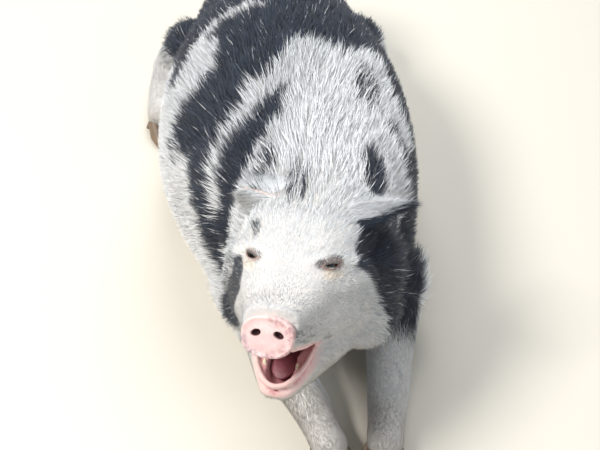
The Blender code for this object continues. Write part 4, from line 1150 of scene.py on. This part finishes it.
def tooth_material():
    """Worn enamel with patches of yellow stain."""
    made, tree, shader = new_material("stained enamel", Roughness=0.28, Metallic=0.0, IOR=1.62)
    place = add_node(tree, "ShaderNodeTexCoord", {}, "Object")
    stain = add_node(tree, "ShaderNodeTexNoise", {"Vector": place, "Scale": per_metre(6), "Detail": 3.0})
    enamel = {0: stain, 6: linear("#D9CBA4"), 7: linear("#F0E8D2")}
    tree.links.new(add_node(tree, "ShaderNodeMix", enamel, **IN_COLOUR), shader.inputs["Base Color"])
    return made


def eye_material():
    """A wet dark brown eye: black pupil, rayed iris that fills the lids, and a brownish rim of white."""
    made, tree, shader = new_material("wet eye", Roughness=0.10, Metallic=0.0, IOR=1.38)
    place = add_node(tree, "ShaderNodeTexCoord", {}, "Object")
    gaze = add_node(tree, "ShaderNodeAttribute", {}, "Fac", attribute_name="gaze")
    rays = add_node(tree, "ShaderNodeTexNoise", {"Vector": place, "Scale": per_metre(1.1), "Detail": 2.0})
    iris = {0: rays, 6: linear("#1A0F0A"), 7: linear("#3E2616")}
    iris = add_node(tree, "ShaderNodeMix", iris, **IN_COLOUR)
    white = {0: rays, 6: linear("#7E6B5E"), 7: linear("#A5958A")}
    white = add_node(tree, "ShaderNodeMix", white, **IN_COLOUR)
    colour = linear("#060504")
    for start, end, shade in ((0.30, 0.36, iris), (0.78, 0.84, white)):
        ring = add_node(tree, "ShaderNodeMapRange", {"Value": gaze, "From Min": start, "From Max": end})
        colour = add_node(tree, "ShaderNodeMix", {0: ring, 6: colour, 7: shade}, **IN_COLOUR)
    tree.links.new(colour, shader.inputs["Base Color"])
    return made


def horn_material():
    """Hoof horn: pale amber-grey keratin with growth rings and soil worn into it."""
    made, tree, shader = new_material("hoof horn", Roughness=0.48, Metallic=0.0, IOR=1.54)
    place = add_node(tree, "ShaderNodeTexCoord", {}, "Object")
    waves = {"Vector": place, "Scale": per_metre(11), "Distortion": 3.0, "Detail": 2.0}
    rings = add_node(tree, "ShaderNodeTexWave", waves, "Fac", bands_direction="Y")
    cloud = add_node(tree, "ShaderNodeTexNoise", {"Vector": place, "Scale": per_metre(22), "Detail": 5.0})
    colour = linear("#7A6450")
    for factor, shade in ((rings, "#A08A70"), (cloud, "#5A4A3C")):
        colour = add_node(tree, "ShaderNodeMix", {0: factor, 6: colour, 7: linear(shade)}, **IN_COLOUR)
    tree.links.new(colour, shader.inputs["Base Color"])
    bump = add_node(tree, "ShaderNodeBump", {"Height": rings, "Distance": 0.0005, "Strength": 0.5})
    tree.links.new(bump, shader.inputs["Normal"])
    return made


def snout_place():
    """The snout disc's own frame: Y looks out of the disc, Z up along it."""
    tilted = HEAD @ Matrix.Translation(SNOUT_AT) @ Matrix.Rotation(math.pi - SNOUT_TILT, 4, "X")
    return tilted @ Matrix.Rotation(math.pi, 4, "Y")


# Rings of the snout disc from the middle of its back to the middle of its front: size and how far forward
SNOUT_RINGS = (
    (0.00, -SNOUT_DEPTH), (0.95, -SNOUT_DEPTH), (0.985, -0.0105), (1.00, -0.0065), (1.00, -0.0035),
    (0.975, -0.0010), (0.93, 0.0004), (0.87, 0.0002), (0.78, -0.0010), (0.60, -0.0008), (0.40, 0.0004),
    (0.20, 0.0010), (0.00, 0.0010),
)


def make_snout():
    """The rhinarium: an upright oval disc with a rolled rim, a hollow inside the rim and two nostrils."""
    bm = bmesh.new()
    last = len(SNOUT_RINGS) - 1
    bmesh.ops.create_uvsphere(bm, u_segments=96, v_segments=last, radius=1)
    for vert in bm.verts:
        polar = math.acos(max(-1.0, min(1.0, vert.co.z)))
        size, depth = SNOUT_RINGS[round(polar / math.pi * last)]
        angle = math.atan2(vert.co.y, vert.co.x)
        across, up = math.cos(angle), math.sin(angle)
        squared = (abs(across) ** 2.5 + abs(up) ** 2.5) ** (-1 / 2.5) * size
        x = across * squared * SNOUT_WIDTH / 2 * (1 + 0.05 * up)
        vert.co = (x, depth, up * squared * SNOUT_HEIGHT / 2)
    bmesh.ops.transform(bm, matrix=snout_place(), verts=bm.verts[:])
    bmesh.ops.recalc_face_normals(bm, faces=bm.faces[:])
    snout = object_from(bm, "snout_disc")
    refine = snout.modifiers.new("refine", "SUBSURF")
    refine.levels = refine.render_levels = 1
    settle(snout)
    for side in (1, -1):
        hole = bmesh.new()
        at = (side * NOSTRIL_APART / 2, 0, NOSTRIL_UP)
        blob(hole, at, NOSTRIL_RADII, snout_place(), turn=(0, side * 22, 0))
        combine(snout, [object_from(hole, "nostril")], "DIFFERENCE", "EXACT")
    places, _ = points_of(snout.data)
    local = seen_from(snout_place(), places)
    rim = np.hypot(local[:, 0] / SNOUT_WIDTH * 2, local[:, 2] / SNOUT_HEIGHT * 2)
    low_left = smooth_step(local[:, 0] - local[:, 2], 0.010, 0.040)
    mauve = 0.85 * low_left * smooth_step(rim, 0.60, 0.95)
    # Painted shade inside each nostril, darker further in
    deep = np.zeros(len(places))
    for side in (1, -1):
        away = np.hypot(local[:, 0] - side * NOSTRIL_APART / 2, local[:, 2] - NOSTRIL_UP)
        near = falling(away, 0.007, 0.011)
        deep = np.maximum(deep, near * smooth_step(-local[:, 1], 0.0010, 0.0050))
    # The rim darkens most on her left side, away from the key light: painted shade over a mottled stain
    rim = smooth_step(rim - 0.25 * np.sign(local[:, 0]), 0.70, 1.2)
    set_values(snout.data, rim=rim, mauve=mauve, nostril=deep)
    snout.data.shade_smooth()
    placed(snout, snout_material(), "pink_skin", "snout")


def make_eyes():
    material = eye_material()
    for side, side_name in SIDES:
        bm = bmesh.new()
        blob(bm, (0, 0, 0), [EYE_RADIUS - 0.0002] * 3, fineness=5)
        gaze = [math.acos(max(-1, min(1, vert.co.normalized().y))) for vert in bm.verts]
        bmesh.ops.transform(bm, matrix=eye_place(side), verts=bm.verts[:])
        eye = object_from(bm, f"eyeball_{side_name}")
        set_values(eye.data, gaze=gaze)
        eye.data.shade_smooth()
        placed(eye, material, "eye", f"eye_{side_name}")


def make_mouth():
    """Tongue and the two short lower teeth."""
    bm = bmesh.new()
    blob(bm, (0, -0.078, -0.0890), (0.0225, 0.044, 0.0055), HEAD, turn=(24, 0, 0), fineness=5)
    tongue = object_from(bm, "tongue_flesh")
    tongue.data.shade_smooth()
    placed(tongue, tongue_material(), "mouth_skin", "tongue")
    enamel = tooth_material()
    for side, side_name in SIDES:
        root = Vector((side * 0.0245, -0.110, -0.0990))
        tip = root + Vector((side * 0.002, -0.002, 1.0)).normalized() * (TOOTH_LENGTH + TOOTH_IN_GUM)
        bm = bmesh.new()
        radii = ((0, 0.0040), (0.35, 0.0038), (0.7, 0.0028), (0.97, 0.0010))
        chain(bm, [(*root.lerp(tip, t), radius) for t, radius in radii], HEAD)
        tooth = melted(object_from(bm, f"lower_tooth_{side_name}"), 0.0006, 2)
        tooth.data.shade_smooth()
        placed(tooth, enamel, "tooth", f"tooth_{side_name}")


def ear_frame(side):
    """An ear's root in the world, and the ways that its tip, its edge and its back point."""
    points = EAR_POINTS[side].normalized()
    back = EAR_BACKS[side]
    back = (back - points * back.dot(points)).normalized()
    root = HEAD @ Vector((side * EAR_AT.x, EAR_AT.y, EAR_AT.z))
    return root, points, points.cross(back).normalized(), back


def make_ear(side, side_name, material):
    """One ear: a pointed leaf of even thickness, rolled into a cup at its base."""
    root, points, across, back = ear_frame(side)
    rows, columns = 40, 28
    bm = bmesh.new()
    bmesh.ops.create_grid(bm, x_segments=columns, y_segments=rows, size=1.0)
    flat = {vert: ((vert.co.y + 1) / 2, vert.co.x) for vert in bm.verts}
    for vert, (u, v) in flat.items():
        fullness = 0.62 + 0.38 * math.sin(math.pi * min(u * 1.25 + 0.15, 1))
        half = max(EAR_WIDTH / 2 * (1 - u**2.2) ** 0.62 * fullness, 0.0030)
        cup = 0.022 * (1 - u) ** 1.2 + 0.006
        droop = -0.016 * u**2
        middle = root + points * (EAR_LENGTH * u - 0.012)
        vert.co = middle + across * (half * v) + back * (droop - cup * v * v)
    bmesh.ops.recalc_face_normals(bm, faces=bm.faces[:])
    ear = object_from(bm, f"ear_leaf_{side_name}")
    shell = ear.modifiers.new("shell", "SOLIDIFY")
    shell.thickness = EAR_THICKNESS * 0.62
    shell.offset = 0
    settle(ear)
    places, _ = points_of(ear.data)
    set_values(ear.data, dark=ear_darkness(places, side), bare=np.full(len(places), 0.4))
    ear.data.shade_smooth()
    return placed(ear, material, "white_coat", f"ear_{side_name}")


def ear_darkness(places, side):
    """The ears' backs are pale, the right one flecked. The hollow of her left ear is blue-black, partly black
    hair and partly painted shade.
    """
    root, _, _, back = (np.array(v) for v in ear_frame(side))
    if side < 0:
        return 0.30 * smooth_step(wobble(places, 0.014, 7), -0.1, 0.4)
    # Her left ear darkens toward the underside of its cup: partly black hair, partly painted shade
    return falling((places - root) @ back, -0.0165, -0.0125)


def ear_coat(side):
    """Weight, length, lie and darkness of the short hair on one ear."""
    root, points, across, _ = (np.array(v) for v in ear_frame(side))

    def weight(places):
        return np.ones(len(places))

    def length_of(places, facing):
        return (0.016 if side > 0 else 0.022) + 0.004 * np.clip((places - root) @ points / EAR_LENGTH, 0, 1)

    def lie_of(places, facing):
        away = np.sign((places - root) @ across)[:, None] * across * 0.60
        lie = points + away
        return unit(lie - facing * np.sum(lie * facing, axis=1)[:, None])

    return weight, length_of, lie_of, lambda places: ear_darkness(places, side)


def make_claws(material):
    """Two main claws in front of each fetlock and two small dewclaws behind it."""
    for leg, joints_of in (("foreleg", foreleg_joints), ("hindleg", hindleg_joints)):
        for side, side_name in SIDES:
            joints = joints_of(side)
            leg_name = f"{leg}_{side_name}"
            before, last = (Vector(joints[k][:3]) + ORIGIN_SHIFT for k in (-2, -1))
            ahead = Vector(((last - before).x, (last - before).y, 0)).normalized()
            left = Vector((0, 0, 1)).cross(ahead)
            start = last + ahead * FETLOCK_CUT
            for which, name in ((1, "inner"), (-1, "outer")):
                inward = left * which
                root = start + inward * (CLAW_RADIUS + 0.0010)
                root.z = 0
                middle = root + ahead * CLAW_LENGTH * 0.45 - inward * 0.001
                tip = root + ahead * CLAW_LENGTH - inward * 0.006
                balls = [
                    (root.x, root.y, 0.022, CLAW_RADIUS),
                    (root.x, root.y, 0.010, CLAW_RADIUS),
                    (middle.x, middle.y, 0.009, CLAW_RADIUS * 0.92),
                    (tip.x, tip.y, 0.005, CLAW_RADIUS * 0.42),
                ]
                cuts = (FLOOR_CUT, (start + inward * 0.0008, -inward))
                make_horn(f"horn_{name}_{leg_name}", f"claw_{name}_{leg_name}", balls, 4, cuts, material)
                root = last - ahead * 0.012 + inward * 0.020
                tip = root + ahead * DEWCLAW_LENGTH * 0.8 + inward * 0.012
                balls = [(root.x, root.y, 0.014, DEWCLAW_RADIUS), (tip.x, tip.y, 0.009, DEWCLAW_RADIUS * 0.5)]
                node = f"dewclaw_{name}_{leg_name}"
                make_horn(f"dew_horn_{name}_{leg_name}", node, balls, 3, (FLOOR_CUT,), material)


def make_horn(name, node, balls, fineness, cuts, material):
    """One claw: the tight skin round its balls, cut flat by each plane."""
    bm = bmesh.new()
    hull(bm, balls, fineness=fineness)
    for place, outward in cuts:
        whole = bm.verts[:] + bm.edges[:] + bm.faces[:]
        bmesh.ops.bisect_plane(bm, geom=whole, plane_co=place, plane_no=outward, clear_outer=True)
        bmesh.ops.holes_fill(bm, edges=bm.edges[:])
    claw = object_from(bm, name)
    claw.data.shade_smooth()
    claw.data.set_sharp_from_angle(angle=math.radians(50))
    placed(claw, material, "hoof_horn", node)


def make_floor():
    bm = bmesh.new()
    below = Matrix.Translation((0, 0, -0.0005))
    bmesh.ops.create_grid(bm, x_segments=1, y_segments=1, size=6.0, matrix=below)
    floor = object_from(bm, "floor")
    made, _, shader = new_material("pale matt floor", Roughness=0.9, Metallic=0.0)
    shader.inputs["Base Color"].default_value = linear("#D8D2C6")
    floor.data.materials.append(made)


def add_light(name, at, size, power, colour, target=(0, -0.1, 0.2)):
    light = bpy.data.lights.new(name, "AREA")
    light.shape = "DISK"
    light.size = size
    light.energy = power
    light.color = colour
    lamp = bpy.data.objects.new(name, light)
    lamp.location = at
    lamp.rotation_mode = "QUATERNION"
    lamp.rotation_quaternion = (Vector(target) - Vector(at)).to_track_quat("-Z", "Y")
    bpy.context.scene.collection.objects.link(lamp)


def make_studio():
    """Soft light with its key from her right and above, as the photo's sun, and the photo's camera."""
    add_light("key", (-1.9, -0.9, 2.8), 1.1, 128, (1.0, 0.98, 0.95))
    add_light("fill", (2.2, -1.6, 2.0), 2.4, 30, (0.92, 0.96, 1.0))
    add_light("back", (0.2, 2.2, 2.6), 2.0, 80, (0.96, 0.98, 1.0))
    world = bpy.data.worlds.new("studio")
    world.use_nodes = True
    world.node_tree.nodes["Background"].inputs[0].default_value = linear("#DDE4EC")
    world.node_tree.nodes["Background"].inputs[1].default_value = 0.34
    bpy.context.scene.world = world
    lens = bpy.data.cameras.new("camera")
    lens.lens = CAMERA_LENS
    lens.sensor_width = 36
    camera = bpy.data.objects.new("camera", lens)
    camera.matrix_world = Matrix.Translation(CAMERA_AT) @ CAMERA_TURN.to_4x4()
    bpy.context.scene.collection.objects.link(camera)
    bpy.context.scene.camera = camera
    bpy.context.scene.view_settings.view_transform = "Standard"


def coated(shortest, longest, share=1.0):
    """The coat of her body where its length is between the two, at a share of that length."""

    def weight(places):
        up = np.zeros_like(places)
        up[:, 2] = 0.6
        length = coat_length(places, up)
        here = (length >= shortest) & (length < longest) & (places[:, 2] > 0.006)
        return np.where(here, 1 - bare_places(places), 0.0) * np.clip(0.022 / length, 0.6, 3.0)

    return weight, lambda places, facing: coat_length(places, facing) * share, coat_lie, darkness


def grow_lashes(name, side, material, rng):
    """Lashes along the upper lid."""
    count = LASHES
    place = eye_place(side)
    width, height = LID_OPENING
    turns = np.linspace(0.12, 0.88, count) * math.pi
    roots, lie = np.empty((count, 3)), np.empty((count, 3))
    for index, turn in enumerate(turns):
        x, z = width * math.cos(turn), height * math.sin(turn)
        y = math.sqrt((EYE_RADIUS + LID_THICKNESS * 0.9) ** 2 - x * x - z * z)
        roots[index] = place @ Vector((x, y, z))
        lie[index] = place.to_3x3() @ Vector((x * 28 + rng.normal(0, 0.08), 0.75, 0.35 + z * 40))
    ways = np.tile(np.array(place.to_3x3() @ Vector((0, 0.4, 1))), (count, 1))
    lie = unit(lie)
    ways = unit(ways - lie * np.sum(ways * lie, axis=1)[:, None])
    length = rng.uniform(0.007, 0.011, count)
    width, rise = np.full(count, 0.0005), np.full(count, 0.5)
    tone = rng.uniform(0.2, 0.8, count)
    shades = {"dark": np.full(count, 0.4), "tone": tone, "warm": np.full(count, 0.2)}
    make_tufts(name, roots, ways, lie, length, width, rise, shades, LASH, material)


MOUTH_WALLS = mouth_walls()


def main():
    make_studio()
    make_floor()
    skin = make_skin()
    paint_skin(skin)
    pig_skin = skin_material()
    legs = ("foreleg_left", "foreleg_right", "hindleg_left", "hindleg_right")
    placed(skin, pig_skin, "white_coat", "torso", "neck", "head", "tail", *legs)
    make_snout()
    make_eyes()
    make_mouth()
    ears = {}
    for side, side_name in SIDES:
        ears[side] = make_ear(side, side_name, pig_skin)
    make_claws(horn_material())
    bristle = bristle_material()
    rng = np.random.default_rng(11)
    share = 1.0
    for name, coat in (
        ("long_bristles", coated(SHORT_COAT, 1.0)),
        ("fine_bristles", coated(SHORT_COAT, 1.0, 0.8)),
        ("short_bristles", coated(0.0, SHORT_COAT)),
    ):
        grow_coat(name, skin, COATS[name], share, rng, coat, bristle)
    tufts = COATS["ear_bristles"]
    for side, side_name in SIDES:
        grow_coat(f"ear_bristles_{side_name}", ears[side], tufts, share, rng, ear_coat(side), bristle)
        grow_lashes(f"lashes_{side_name}", side, bristle, rng)


main()
